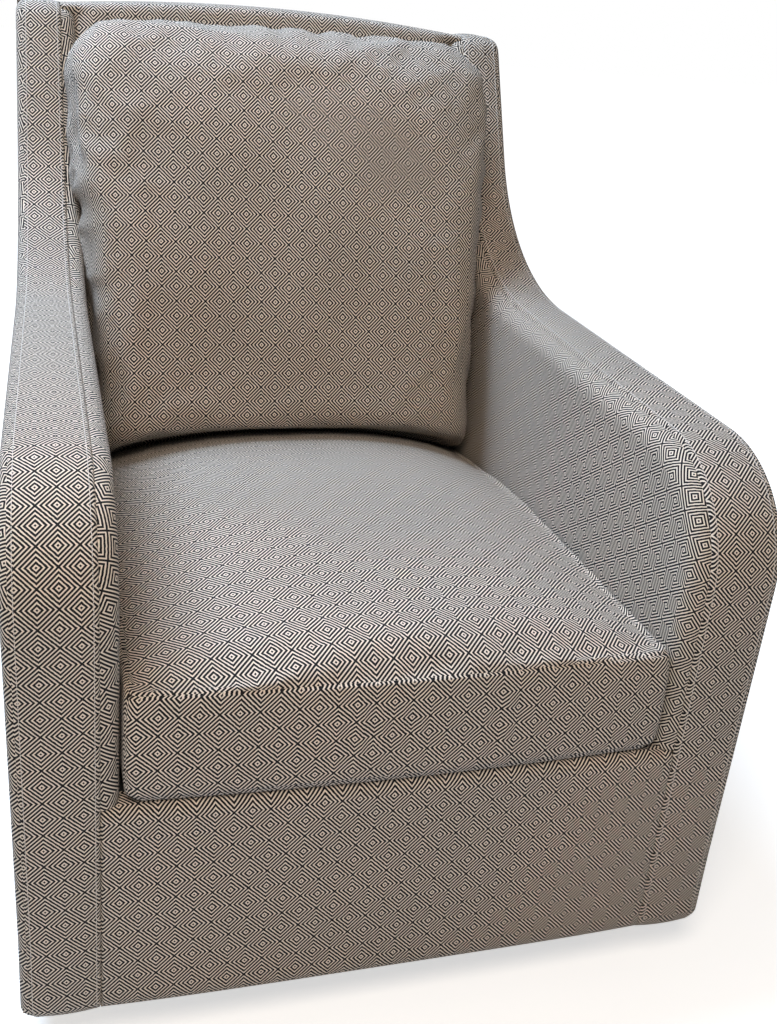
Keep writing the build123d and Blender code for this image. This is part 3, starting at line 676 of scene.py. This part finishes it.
def turned(cloth, angle):
    """Cloth coordinates turned by an angle."""
    u, v = cloth[..., 0], cloth[..., 1]
    return np.stack([u * cos(angle) + v * sin(angle), v * cos(angle) - u * sin(angle)], axis=-1)


def outside_arms():
    outline, _ = arm_outline(PANEL_STEP / 2, None)
    outline = outline[np.argmax(outline[:, 1] > UNDER_Z + HEM_R)::2]
    front_y = FRONT_Y + OUTER_DIP + OUTSIDE_ROLL + OUTSIDE_EASE
    rear_y = outside_back_y(UNDER_Z) - BACK_EDGE
    share = np.linspace(0.0, 1.0, len(outline)) ** 1.2
    floor_y = front_y + (rear_y - front_y) * share
    floor_line = np.stack([floor_y, np.full(len(floor_y), UNDER_Z + HEM_R)], axis=1)
    flat = side_panel(outline, floor_line, OUTER_SEAM, OUTER_DIP, OUTSIDE_PAD, OUTSIDE_ROLL)
    flat[0][..., 0] -= side_taper(flat[0][..., 2]) + hem_inset(flat[0][..., 1], flat[0][..., 2])
    hem = outside_hem(flat)
    both_arms("_outside_arm_cover", "_outside_arm_panel", [flat, hem], fill=0.6)


def outside_hem(flat):
    """The lower edge of an outside arm, turned in under it."""
    places, cloth = flat
    rolled = len(ROLL_SHARES) + 1
    edge = np.concatenate([places[:rolled, 0], places[-1, 1:]])
    edge_cloth = np.concatenate([cloth[:rolled, 0], cloth[-1, 1:]])
    rows, cloth_rows = [], []
    for turn in np.linspace(0.0, pi / 2, 10):
        row = edge.copy()
        row[:, 2] = UNDER_Z + (edge[:, 2] - UNDER_Z) * (1.0 - sin(turn))
        row[:, 0] += hem_inset(edge[:, 1], edge[:, 2]) - hem_inset(edge[:, 1], row[:, 2])
        toe = turn_in(row[:, 2], TOE_R) - turn_in(edge[:, 2], TOE_R)
        row[:, 1] += toe * np.clip(1.0 - (edge[:, 1] - FRONT_Y) / TOE_FADE, 0.0, 1.0)
        rows.append(row)
        cloth_rows.append(edge_cloth - np.array([0.0, HEM_R * turn]))
    return np.stack(rows), np.stack(cloth_rows)


# Front border
BORDER_TOP_R = 0.010
BORDER_LAP = 0.03       # onto the deck
BORDER_CROWN = 0.0025


def seam_shares(width, count):
    """Shares of a width, closer together near both ends."""
    edge = np.array([0.0, 0.0012, 0.003, 0.006, 0.010, 0.016]) / width
    return np.concatenate([edge, np.linspace(0.024 / width, 1.0 - 0.024 / width, count), 1.0 - edge[::-1]])


def front_border():
    corners = [
        (FRONT_Y + 2 * TOE_R, UNDER_Z),
        (FRONT_Y, UNDER_Z),
        (FRONT_Y, DECK_FRONT_Z),
        (FRONT_Y + BORDER_LAP, DECK_FRONT_Z),
    ]
    line, run = rounded_line(corners, [0.0, TOE_R, BORDER_TOP_R, 0.0], 0.005)
    normals = outward(line)
    half = half_width(INNER_SEAM, FRONT_Y)
    places, cloth = [], []
    for share in seam_shares(2 * half, 60):
        x = -half + 2 * half * share
        lift = BORDER_CROWN * (1.0 - (2 * share - 1) ** 4) + seam_dip(min(x + half, half - x), INNER_DIP)
        places.append(raised(x, line, normals, lift))
        cloth.append(np.stack([np.full(len(line), x), run], axis=1))
    border = mesh_object("front_border_cover", [(np.stack(places), np.stack(cloth))], FABRIC)
    dress(border, "chair", "cover_fabric", "front_border", fill=0.6)


# Inside back and outside back
INSIDE_BACK_FOOT_Y = 0.22
BACK_TOP_R = 0.012
TUCK_DEPTH = 0.020      # the inside back is pulled in beside the wings
TUCK_WIDTH = 0.012
OUTSIDE_BACK_ROLL = 0.010


def arch_z(x):
    seam = half_width(INNER_SEAM, WING_TOP_Y)
    return TOP_Z + ARCH_RISE * (1.0 - min(abs(x) / seam, 1.0) ** 2)


def inside_back():
    foot_z = deck_z(INSIDE_BACK_FOOT_Y)
    half_low = half_width(INNER_SEAM, inside_back_y(foot_z))
    places, cloth = [], []
    for share in seam_shares(2 * half_low, 50):
        side = 2 * share - 1
        top_z = arch_z(side * half_low)
        line, run = rounded_line(
            [(inside_back_y(foot_z), foot_z), (inside_back_y(top_z), top_z),
             (outside_back_y(top_z) - BACK_EDGE, top_z)], [0.0, BACK_TOP_R, 0.0], 0.004)
        wanted = np.linspace(0.0, run[-1], 170)
        line = np.stack([np.interp(wanted, run, line[:, k]) for k in range(2)], axis=1)
        normals = outward(line)
        x = side * half_width(INNER_SEAM, line[:, 0])
        from_wing = half_width(INNER_FACE, line[:, 0]) - np.abs(x)
        by_wing = np.clip(1.0 - from_wing / TUCK_WIDTH, 0.0, 1.0) ** 1.5
        tuck = -TUCK_DEPTH * by_wing * np.clip(-normals[:, 0], 0.0, 1.0) ** 4
        places.append(raised(x, line, normals, tuck))
        cloth.append(np.stack([x, wanted], axis=1))
    back = mesh_object("inside_back_cover", [(np.stack(places), np.stack(cloth))], FABRIC)
    dress(back, "chair", "cover_fabric", "inside_back_panel", fill=0.6)


def outside_back():
    rows = 120
    half_low = half_width(OUTER_FACE, outside_back_y(UNDER_Z))
    places, cloth = [], []
    for share in seam_shares(2 * half_low, 60):
        side = 2 * share - 1
        top_z = arch_z(side * half_low)
        edge = (1 - abs(side)) * half_low
        heights = UNDER_Z + (top_z - UNDER_Z) * np.linspace(0.0, 1.0, rows)
        inset = np.minimum(np.minimum(heights - UNDER_Z, top_z - heights), edge)
        depth = BACK_EDGE * (1.0 - quarter_round(np.maximum(inset, 0.0), OUTSIDE_BACK_ROLL))
        y = outside_back_y(heights)
        x = side * (half_width(OUTER_FACE, y) - turn_in(heights, HEM_R) - side_taper(heights))
        places.append(np.stack([x, y - depth, heights], axis=1))
        cloth.append(np.stack([np.full(rows, side * half_low), heights], axis=1))
    back = mesh_object("outside_back_cover", [(np.stack(places), np.stack(cloth))], FABRIC)
    dress(back, "chair", "cover_fabric", "outside_back_panel", fill=0.5)


# Cushions
def smooth_through(shares, values, wanted):
    """A smooth curve through a few stations."""
    shares, values = np.array(shares, float), np.array(values, float)
    slopes = np.gradient(values, shares)
    place = np.clip(np.searchsorted(shares, wanted) - 1, 0, len(shares) - 2)
    span = shares[place + 1] - shares[place]
    t = (wanted - shares[place]) / span
    return ((2 * t**3 - 3 * t**2 + 1) * values[place] + (t**3 - 2 * t**2 + t) * span * slopes[place]
            + (-2 * t**3 + 3 * t**2) * values[place + 1] + (t**3 - t**2) * span * slopes[place + 1])


def round_corner(across, along, half_across, half_along, corner):
    """Moves places of a rectangle so that its corners are round; both measured from its middle."""
    side = np.sign(across)
    end = np.sign(along)
    p = np.clip((np.abs(across) - (half_across - corner)) / corner, 0.0, 1.0)
    q = np.clip((np.abs(along) - (half_along - corner)) / corner, 0.0, 1.0)
    new_p = p * np.sqrt(1.0 - q**2 / 2)
    new_q = q * np.sqrt(1.0 - p**2 / 2)
    return across + side * (new_p - p) * corner, along + end * (new_q - q) * corner


def uneven(along, seed, slow, fast, count):
    """An uneven wave round a closed rim, about -1 to 1; along runs from 0 to 1."""
    chance = np.random.default_rng(seed)
    wave = np.zeros_like(along)
    for _ in range(count):
        wave += np.sin(2 * pi * (chance.integers(slow, fast + 1) * along + chance.random()))
    return wave / np.sqrt(count)


def rim_place(a, b):
    """How far round the rim of a cushion a place lies, 0 to 1; a and b run from -1 to 1."""
    return (np.arctan2(b, a) / (2 * pi)) % 1.0


def run_along(places, axis):
    """Length of cloth along one way of a grid, from its start."""
    steps = np.linalg.norm(np.diff(places, axis=axis), axis=-1)
    start = np.zeros_like(np.take(steps, [0], axis=axis))
    return np.concatenate([start, np.cumsum(steps, axis=axis)], axis=axis)


BILLOW_FRAMES = 20


def billow(name, places, pinned, loose, pressure, growth, cap):
    """A cut of cloth, held at its seams and loosest near them, blown up a little by its filling."""
    rows, cols = places.shape[:2]
    sheet = mesh_object(name, [(places, np.zeros((rows, cols, 2)))], FABRIC, weld=False)
    held = sheet.vertex_groups.new(name="seam")
    held.add(np.flatnonzero(pinned.reshape(-1)).tolist(), 1.0, "REPLACE")
    cloth = sheet.modifiers.new("cloth", "CLOTH")
    settings = cloth.settings
    settings.quality = 4
    settings.mass = 0.25
    settings.tension_stiffness = 12.0
    settings.compression_stiffness = 12.0
    settings.shear_stiffness = 4.0
    settings.bending_stiffness = 0.4
    settings.air_damping = 4.0
    settings.use_pressure = True
    settings.uniform_pressure_force = pressure
    settings.shrink_min = -growth
    settings.vertex_group_mass = "seam"
    settings.effector_weights.gravity = 0.0
    cloth.point_cache.frame_start = 1
    cloth.point_cache.frame_end = BILLOW_FRAMES
    for step in range(1, BILLOW_FRAMES + 1):
        bpy.context.scene.frame_set(step)
    shaped = sheet.evaluated_get(bpy.context.evaluated_depsgraph_get()).data
    moved = np.empty(rows * cols * 3)
    shaped.vertices.foreach_get("co", moved)
    moved = moved.reshape(rows, cols, 3) - places
    size = np.linalg.norm(moved, axis=-1, keepdims=True)
    moved *= np.minimum(1.0, cap / np.maximum(size, 1e-9))
    bpy.context.scene.frame_set(1)
    mesh = sheet.data
    bpy.data.objects.remove(sheet)
    bpy.data.meshes.remove(mesh)
    return places + moved * loose[..., None]


# Seat cushion: shares of its depth, height of the seam and of the crown there
SEAT_SHARES = (-0.05, 0.08, 0.35, 0.70, 0.90, 1.05)
SEAT_SEAM = (0.119, 0.122, 0.126, 0.130, 0.122, 0.110)
SEAT_CROWN = (0.148, 0.154, 0.167, 0.177, 0.164, 0.150)
SEAT_HALF = 0.27
SEAT_DEPTH = 0.65
SEAT_GAP = 0.0015
SEAT_BACK_GAP = 0.006
SEAT_FOOT_R = 0.010
SEAT_BULGE = 0.006
SEAT_BOW = 0.008
SEAT_CORNER = 0.012
SEAT_NOSE = 0.055
SEAT_TAIL = 0.090
SEAT_LIFT = 0.0006      # above the deck
SEAT_SEAM_DIP = 0.0040
SEAT_PUCKER = 0.0022
SEAT_RIPPLE = 0.0008


def deck_place(x, depth, height):
    """A place on the deck: across, back along its slope, and up from it."""
    y = FRONT_Y + depth * cos(DECK_SLOPE) + height * sin(DECK_SLOPE)
    z = DECK_FRONT_Z - depth * sin(DECK_SLOPE) + height * cos(DECK_SLOPE)
    return np.stack([x, y, z], axis=-1)


def seat_cushion():
    depth_all = inside_back_y(DECK_FRONT_Z) - SEAT_BACK_GAP - FRONT_Y
    sideways = 2.0 * seam_shares(2 * SEAT_HALF, 80) - 1.0
    across, along = np.meshgrid(sideways, seam_shares(SEAT_DEPTH, 96), indexing="ij")

    def plan(a, b, inset):
        """Places in plan, drawn in by inset all round."""
        half = half_width(INNER_FACE, FRONT_Y + b * depth_all) - SEAT_GAP - inset
        x = a * half
        d = (b - 0.5) * (depth_all - 2 * inset)
        x, d = round_corner(x, d, half, depth_all / 2 - inset, SEAT_CORNER)
        bow = SEAT_BOW * (1.0 - a**2) * np.clip(1.0 - b / 0.15, 0.0, 1.0) ** 2
        return x, d + depth_all / 2 - bow

    def edge_distance(a, b):
        return np.minimum((1 - np.abs(a)) * SEAT_HALF, np.minimum(b, 1 - b) * depth_all)

    def top_height(a, b):
        seam = smooth_through(SEAT_SHARES, SEAT_SEAM, b)
        crown = smooth_through(SEAT_SHARES, SEAT_CROWN, b)
        sides = 1.0 - np.abs(a) ** 2.6
        nose = 1.0 - np.clip(1.0 - b * depth_all / SEAT_NOSE, 0.0, 1.0) ** 2.5
        ends = nose * quarter_round((1 - b) * depth_all, SEAT_TAIL)
        off_seam = edge_distance(a, b)
        by_seam = np.exp(-off_seam / 0.018) - np.exp(-off_seam / 0.006)
        wave = uneven(rim_place(a, 2 * b - 1), seed=5, slow=40, fast=90, count=16)
        pucker = SEAT_PUCKER * wave * by_seam
        sunk = seam_dip(1.4 * off_seam, SEAT_SEAM_DIP)
        return seam + (crown - seam) * sides * ends + sunk + pucker * (1 - np.abs(a) ** 9)

    x, d = plan(across, along, SEAT_BULGE)
    top_places = deck_place(x, d, top_height(across, along))
    near_edge = np.exp(-edge_distance(across, along) / 0.05)
    held = edge_distance(across, along) < 0.001
    top_places = billow("seat_cushion_top", top_places, held, 0.25 + 0.75 * near_edge,
                        pressure=2.0, growth=0.008, cap=0.006)
    top = (top_places, cut(np.stack([x, run_along(top_places, 1)], axis=-1), "seat_top"))
    low_x, low_d = plan(across, along, SEAT_BULGE + SEAT_FOOT_R)
    low_places = deck_place(low_x, low_d, np.full(low_x.shape, SEAT_LIFT))
    foot = (low_places[:, ::-1], np.stack([low_x, low_d], axis=-1)[:, ::-1])

    rim_a = np.concatenate([across[:-1, 0], across[-1, :-1], across[:0:-1, -1], across[0, ::-1]])
    rim_b = np.concatenate([along[:-1, 0], along[-1, :-1], along[:0:-1, -1], along[0, ::-1]])
    high = top_height(rim_a, rim_b)
    x_rim, d_rim = plan(rim_a, rim_b, SEAT_BULGE)
    run = np.concatenate([[0.0], np.cumsum(np.hypot(np.diff(x_rim), np.diff(d_rim)))])
    run = run - run[len(across) // 2]
    wave = uneven(rim_place(rim_a, 2 * rim_b - 1), seed=8, slow=50, fast=110, count=14)
    ripple = SEAT_RIPPLE * wave
    places, cloth = [], []
    for turn in np.linspace(0.0, pi / 2, 9):
        px, pd = plan(rim_a, rim_b, SEAT_BULGE + SEAT_FOOT_R * (1.0 - sin(turn)))
        height = SEAT_LIFT + SEAT_FOOT_R * (1.0 - cos(turn))
        places.append(deck_place(px, pd, np.full(len(px), height)))
        cloth.append(np.stack([run, np.full(len(run), SEAT_FOOT_R * turn)], axis=1))
    base = SEAT_FOOT_R + SEAT_LIFT
    by_seam = np.array([0.005, 0.013, 0.030])
    for row in np.concatenate([by_seam, np.linspace(0.06, 0.94, 17), 1.0 - by_seam[::-1], [1.0]]):
        swell = 4 * row * (1 - row)
        sunk = seam_dip(0.15 * min(row, 1 - row), SEAT_BULGE / 2)
        px, pd = plan(rim_a, rim_b, SEAT_BULGE / 2 * (1.0 - swell) ** 2 - sunk + ripple * swell)
        height = base + (high - base) * row
        places.append(deck_place(px, pd, height))
        cloth.append(np.stack([run, SEAT_FOOT_R * pi / 2 + height - base], axis=1))
    boxing = (np.stack(places), cut(np.stack(cloth), "seat_boxing"))
    cushion = mesh_object("seat_cushion", [top, boxing, foot], FABRIC)
    dress(cushion, "seat_cushion", "cover_fabric", "seat_cushion_cover", "seat_cushion_foam", fill=0.8)


# Back cushion
CUSHION_FOOT = 0.533    # below the wing tops, along the inside back
CUSHION_HEIGHT = 0.512
CUSHION_TOP_CORNER = 0.072
CUSHION_FOOT_CORNER = 0.020
CUSHION_PINCH = 0.004
CUSHION_SETTLE = 0.004
CUSHION_SIDE_SETTLE = 0.030
CUSHION_WRINKLE = 0.0055
CUSHION_FURROW = 0.0045
CUSHION_WAVE = 0.0016
CUSHION_STEP = 0.0052
CUSHION_SWELL = 0.110   # from the seam to the face, for an even grid
CUSHION_MEAN_HALF = 0.262
CUSHION_BACK_GAP = 0.0008
# shares of the height, half width, depth in the middle and depth of the seam
CUSHION_SHARES = (0.0, 0.05, 0.15, 0.30, 0.50, 0.60, 0.72, 0.90, 1.0)
CUSHION_HALF = (0.251, 0.2555, 0.2545, 0.2575, 0.262, 0.267, 0.270, 0.270, 0.266)
CUSHION_DEPTH = (0.172, 0.176, 0.179, 0.181, 0.178, 0.174, 0.168, 0.156, 0.146)
CUSHION_SEAM = (0.066, 0.068, 0.070, 0.070, 0.069, 0.068, 0.066, 0.062, 0.058)


def back_place(x, rise, out):
    """A place on the inside back: across, up from the cushion's foot, and out from it."""
    up = rise - CUSHION_FOOT
    y = INSIDE_BACK_Y + up * sin(INSIDE_BACK_LEAN) - out * cos(INSIDE_BACK_LEAN)
    z = TOP_Z + up * cos(INSIDE_BACK_LEAN) + out * sin(INSIDE_BACK_LEAN)
    return np.stack([x, y, z], axis=-1)


def full_section(low_power, high_power, bend, span, depth, step):
    """Shares across (-1 to 1) and of the depth (0 to 1), evenly spaced along a full rounded section."""
    share = np.sin(np.linspace(-pi / 2, pi / 2, 4001))
    power = np.where(share < 0.0, low_power, high_power)
    full = np.clip(1.0 - np.abs(share) ** power, 0.0, 1.0) ** bend
    line, _ = evenly(np.stack([share * span, full * depth], axis=1), step)
    return line[:, 0] / span, line[:, 1] / depth


def back_cushion():
    across, full = full_section(7.0, 7.0, 0.30, CUSHION_MEAN_HALF, CUSHION_SWELL, CUSHION_STEP)
    along, ends = full_section(22.0, 6.0, 0.36, CUSHION_HEIGHT / 2, CUSHION_SWELL, CUSHION_STEP)
    a, b = np.meshgrid(across, along, indexing="ij")
    whole = full[:, None] * ends[None, :]
    share = (b + 1) / 2
    half = smooth_through(CUSHION_SHARES, CUSHION_HALF, share)
    depth = smooth_through(CUSHION_SHARES, CUSHION_DEPTH, share)
    seam = smooth_through(CUSHION_SHARES, CUSHION_SEAM, share)
    rim = rim_place(a, b)
    near_seam = (1.0 - whole) ** 2
    gathers = np.maximum(uneven(rim, seed=3, slow=14, fast=34, count=12), -0.5)
    wrinkle = CUSHION_WRINKLE * near_seam * gathers
    draw_in = CUSHION_PINCH * (1.0 - whole) ** 8 + wrinkle
    corner = np.where(b > 0, CUSHION_TOP_CORNER, CUSHION_FOOT_CORNER)
    x, r = round_corner(a * half, b * CUSHION_HEIGHT / 2, half, CUSHION_HEIGHT / 2, corner)
    x = x * (1.0 - draw_in / half)
    r = r * (1.0 - np.where(b > 0, draw_in, 0.0) * 2 / CUSHION_HEIGHT)
    settle = CUSHION_SETTLE + CUSHION_SIDE_SETTLE * np.abs(a) ** 2.6
    rise = r + CUSHION_HEIGHT / 2 - settle * (1 - share) ** 8
    folds = uneven(rim, seed=11, slow=20, fast=52, count=14)
    furrow = CUSHION_FURROW * folds * near_seam * whole * 4
    wave = np.sin(2 * pi * (1.3 * a + 0.4 * b)) * np.sin(2 * pi * (0.9 * b - 0.3 * a + 0.2))
    out = seam + (depth - seam) * whole + furrow + CUSHION_WAVE * wave * whole
    front_places = back_place(x, rise, out)
    loose = 0.22 + 0.78 * (1.0 - whole) ** 0.8
    front_places = billow("back_cushion_front", front_places, whole < 0.08, loose,
                          pressure=2.5, growth=0.016, cap=0.012)

    def from_middle(places):
        """Cloth coordinates, measured along the cloth from the middle of the cushion."""
        u = run_along(places, 0)
        v = run_along(places, 1)
        u = u - u[len(across) // 2]
        v = v - v[:, [int(np.argmin(np.abs(along)))]]
        return np.stack([u, v], axis=-1)

    front = (front_places, from_middle(front_places))
    rear_places = back_place(x, rise, np.maximum(seam * (1.0 - whole) ** 2, CUSHION_BACK_GAP))
    rear = (rear_places[:, ::-1], from_middle(rear_places)[:, ::-1])
    cushion = mesh_object("back_cushion", [front, rear], FABRIC)
    dress(cushion, "back_cushion", "cover_fabric", "back_cushion_cover", "back_cushion_fill", fill=0.7)


# Webbing behind the inside back
STRAP_SPACING = 0.120
STRAP_WIDTH = 0.050
STRAP_OUT = -0.017
STRAP_END = 0.002       # short of the solid's ends
STRAP_RIB = 0.0003
STRAP_RIB_PITCH = 0.0125


def back_straps():
    low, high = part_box("back_straps")
    grids = []
    for n in range(4):
        middle = (n - 1.5) * STRAP_SPACING
        across = middle + STRAP_WIDTH * np.linspace(-0.5, 0.5, 9)
        heights = np.linspace(low.z + STRAP_END, high.z - STRAP_END, 120)
        x, z = np.meshgrid(across, heights, indexing="ij")
        up = (z - TOP_Z - STRAP_OUT * sin(INSIDE_BACK_LEAN)) / cos(INSIDE_BACK_LEAN)
        ribs = STRAP_RIB * np.sin(2 * pi * (x - middle) / STRAP_RIB_PITCH)
        grids.append((back_place(x, up + CUSHION_FOOT, STRAP_OUT + ribs), np.stack([x, up], axis=-1)))
    straps = mesh_object("back_webbing", grids, LINING, weld=False)
    dress(straps, "chair", "lining", "back_straps")


# Linings under and inside the chair
LINING_SAG = 0.0015
DECK_DROP = 0.0015
DECK_CROWN = 0.0012
DECK_START = 0.012      # behind the front border's face


def lining_panel(name, node):
    low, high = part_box(node)
    across = np.linspace(low.x, high.x, 40)
    along = np.linspace(low.y, high.y, 40)
    x, y = np.meshgrid(across, along, indexing="ij")
    bow_across = np.sin(pi * (x - low.x) / (high.x - low.x))
    bow_along = np.sin(pi * (y - low.y) / (high.y - low.y))
    sag = LINING_SAG * bow_across * bow_along
    place = np.stack([x, y, (low.z + high.z) / 2 - sag], axis=-1)
    cloth = np.stack([x, y], axis=-1)
    panel = mesh_object(name, [(place[:, ::-1], cloth[:, ::-1])], LINING)
    dress(panel, "chair", "lining", node)


def seat_deck():
    half = half_width(INNER_SEAM, FRONT_Y)
    across = np.linspace(-1.0, 1.0, 60)
    depth = np.linspace(DECK_START, inside_back_y(DECK_FRONT_Z) - FRONT_Y, 60)
    a, d = np.meshgrid(across, depth, indexing="ij")
    x = a * (half - INNER_SEAM[1] * d)
    height = -DECK_DROP + DECK_CROWN * np.sin(pi * (a + 1) / 2)
    place = deck_place(x, d, height)
    deck = mesh_object("seat_deck_cover", [(place, np.stack([x, d], axis=-1))], LINING)
    dress(deck, "chair", "lining", "seat_deck", fill=0.5)


NODE_FINISHES = {
    "base_paint": painted_steel(),
    "steel": bare_steel(),
    "frame_wood": wood(),
    "plastic": moulded_plastic(),
    "zip_tape": zip_tape(),
}


def finish_nodes():
    """Each CAD node that stays gets the finish of its slot in the record."""
    for subpart in frame["record"]["subparts"]:
        finish = NODE_FINISHES.get(subpart["material_slot"])
        node = frame["nodes"].get(subpart["node"])
        if finish is None or node is None:
            continue
        node.data.materials.clear()
        node.data.materials.append(finish)


# Stage
SKY_STRENGTH = 0.11
FLOOR_GLOW = 0.62       # under the chair
FLOOR_GLOW_RISE = 0.38  # more of it away from the chair
FLOOR_GLOW_REACH = (0.5, 1.3)
LAMP_AIM = (0.0, 0.0, 0.5)


def camera():
    level = cos(CAMERA_PITCH)
    forward = Vector((sin(CAMERA_YAW) * level, cos(CAMERA_YAW) * level, -sin(CAMERA_PITCH)))
    right = Vector((cos(CAMERA_YAW), -sin(CAMERA_YAW), 0.0))
    down = forward.cross(right)
    rolled_right = cos(CAMERA_ROLL) * right + sin(CAMERA_ROLL) * down
    rolled_down = -sin(CAMERA_ROLL) * right + cos(CAMERA_ROLL) * down
    data = bpy.data.cameras.new("photo_camera")
    data.sensor_width = 36.0
    data.lens = FOCAL_PIXELS / IMAGE_HEIGHT * data.sensor_width
    data.shift_x = (IMAGE_WIDTH / 2 - OPTICAL_CENTRE[0]) / IMAGE_HEIGHT
    data.shift_y = (OPTICAL_CENTRE[1] - IMAGE_HEIGHT / 2) / IMAGE_HEIGHT
    made = new_object("photo_camera", data)
    turn = Matrix((rolled_right, -rolled_down, -forward)).transposed().to_4x4()
    made.matrix_world = Matrix.Translation(CAMERA_PLACE) @ turn
    bpy.context.scene.camera = made


def area_light(name, place, size, power, colour):
    data = bpy.data.lights.new(name, "AREA")
    data.shape = "DISK"
    data.size = size
    data.energy = power
    data.color = colour
    made = new_object(name, data)
    made.location = place
    made.rotation_mode = "QUATERNION"
    made.rotation_quaternion = (Vector(LAMP_AIM) - Vector(place)).to_track_quat("-Z", "Y")


def seen_straight(nodes, links):
    """1 where the camera sees this directly or in a reflection or through glass, else 0."""
    path = nodes.new("ShaderNodeLightPath")
    seen = path.outputs["Is Camera Ray"]
    for output in ("Is Glossy Ray", "Is Transmission Ray"):
        either = nodes.new("ShaderNodeMath")
        either.operation = "MAXIMUM"
        links.new(seen, either.inputs[0])
        links.new(path.outputs[output], either.inputs[1])
        seen = either.outputs[0]
    return seen


def floor():
    n = Nodes("studio_floor")
    n.set(Roughness=0.9, Specular_IOR_Level=0.0)
    n.colour(n.noise(2.0, 3.0), (0.80, 0.80, 0.80), (0.77, 0.77, 0.77))
    spot = n.add("ShaderNodeVectorMath", operation="LENGTH")
    n.link(n.place(), spot.inputs[0])
    glow = n.add("ShaderNodeEmission")
    away = n.ramp(spot.outputs["Value"], *FLOOR_GLOW_REACH)
    strength = n.math("ADD", n.math("MULTIPLY", away, FLOOR_GLOW_RISE), FLOOR_GLOW)
    n.link(strength, glow.inputs["Strength"])
    both = n.add("ShaderNodeAddShader")
    n.link(n.shader.outputs[0], both.inputs[0])
    n.link(glow.outputs[0], both.inputs[1])
    mix = n.add("ShaderNodeMixShader")
    n.link(seen_straight(n.tree.nodes, n.tree.links), mix.inputs[0])
    n.link(n.shader.outputs[0], mix.inputs[1])
    n.link(both.outputs[0], mix.inputs[2])
    n.link(mix.outputs[0], n.tree.nodes["Material Output"].inputs["Surface"])
    mesh = bpy.data.meshes.new("studio_floor")
    reach = 12.0
    corners = [(-reach, -reach, 0.0), (reach, -reach, 0.0), (reach, reach, 0.0), (-reach, reach, 0.0)]
    mesh.from_pydata(corners, [], [(0, 1, 2, 3)])
    mesh.materials.append(n.material)
    made = new_object("studio_floor", mesh)


def world():
    made = bpy.data.worlds.new("studio")
    bpy.context.scene.world = made
    made.use_nodes = True
    nodes, links = made.node_tree.nodes, made.node_tree.links
    light = nodes["Background"]
    light.inputs["Color"].default_value = (0.97, 0.98, 1.0, 1.0)
    light.inputs["Strength"].default_value = SKY_STRENGTH
    white = nodes.new("ShaderNodeBackground")
    white.inputs["Color"].default_value = (1.0, 1.0, 1.0, 1.0)
    white.inputs["Strength"].default_value = 1.0
    mix = nodes.new("ShaderNodeMixShader")
    links.new(seen_straight(nodes, links), mix.inputs[0])
    links.new(light.outputs[0], mix.inputs[1])
    links.new(white.outputs[0], mix.inputs[2])
    links.new(mix.outputs[0], nodes["World Output"].inputs["Surface"])


camera()
world()
floor()
area_light("window_light", (-1.0, 0.65, 2.8), size=1.4, power=104.0, colour=(0.58, 0.76, 1.0))
area_light("room_light", (-0.5, -1.6, 2.2), size=1.0, power=29.0, colour=(1.0, 0.88, 0.76))
bpy.context.scene.view_settings.view_transform = "Standard"

finish_nodes()
arm_bands()
inside_arms()
outside_arms()
front_border()
inside_back()
outside_back()
back_straps()
seat_deck()
lining_panel("front_dust_cloth", "front_dust_cover")
lining_panel("rear_dust_cloth", "rear_dust_cover")
seat_cushion()
back_cushion()
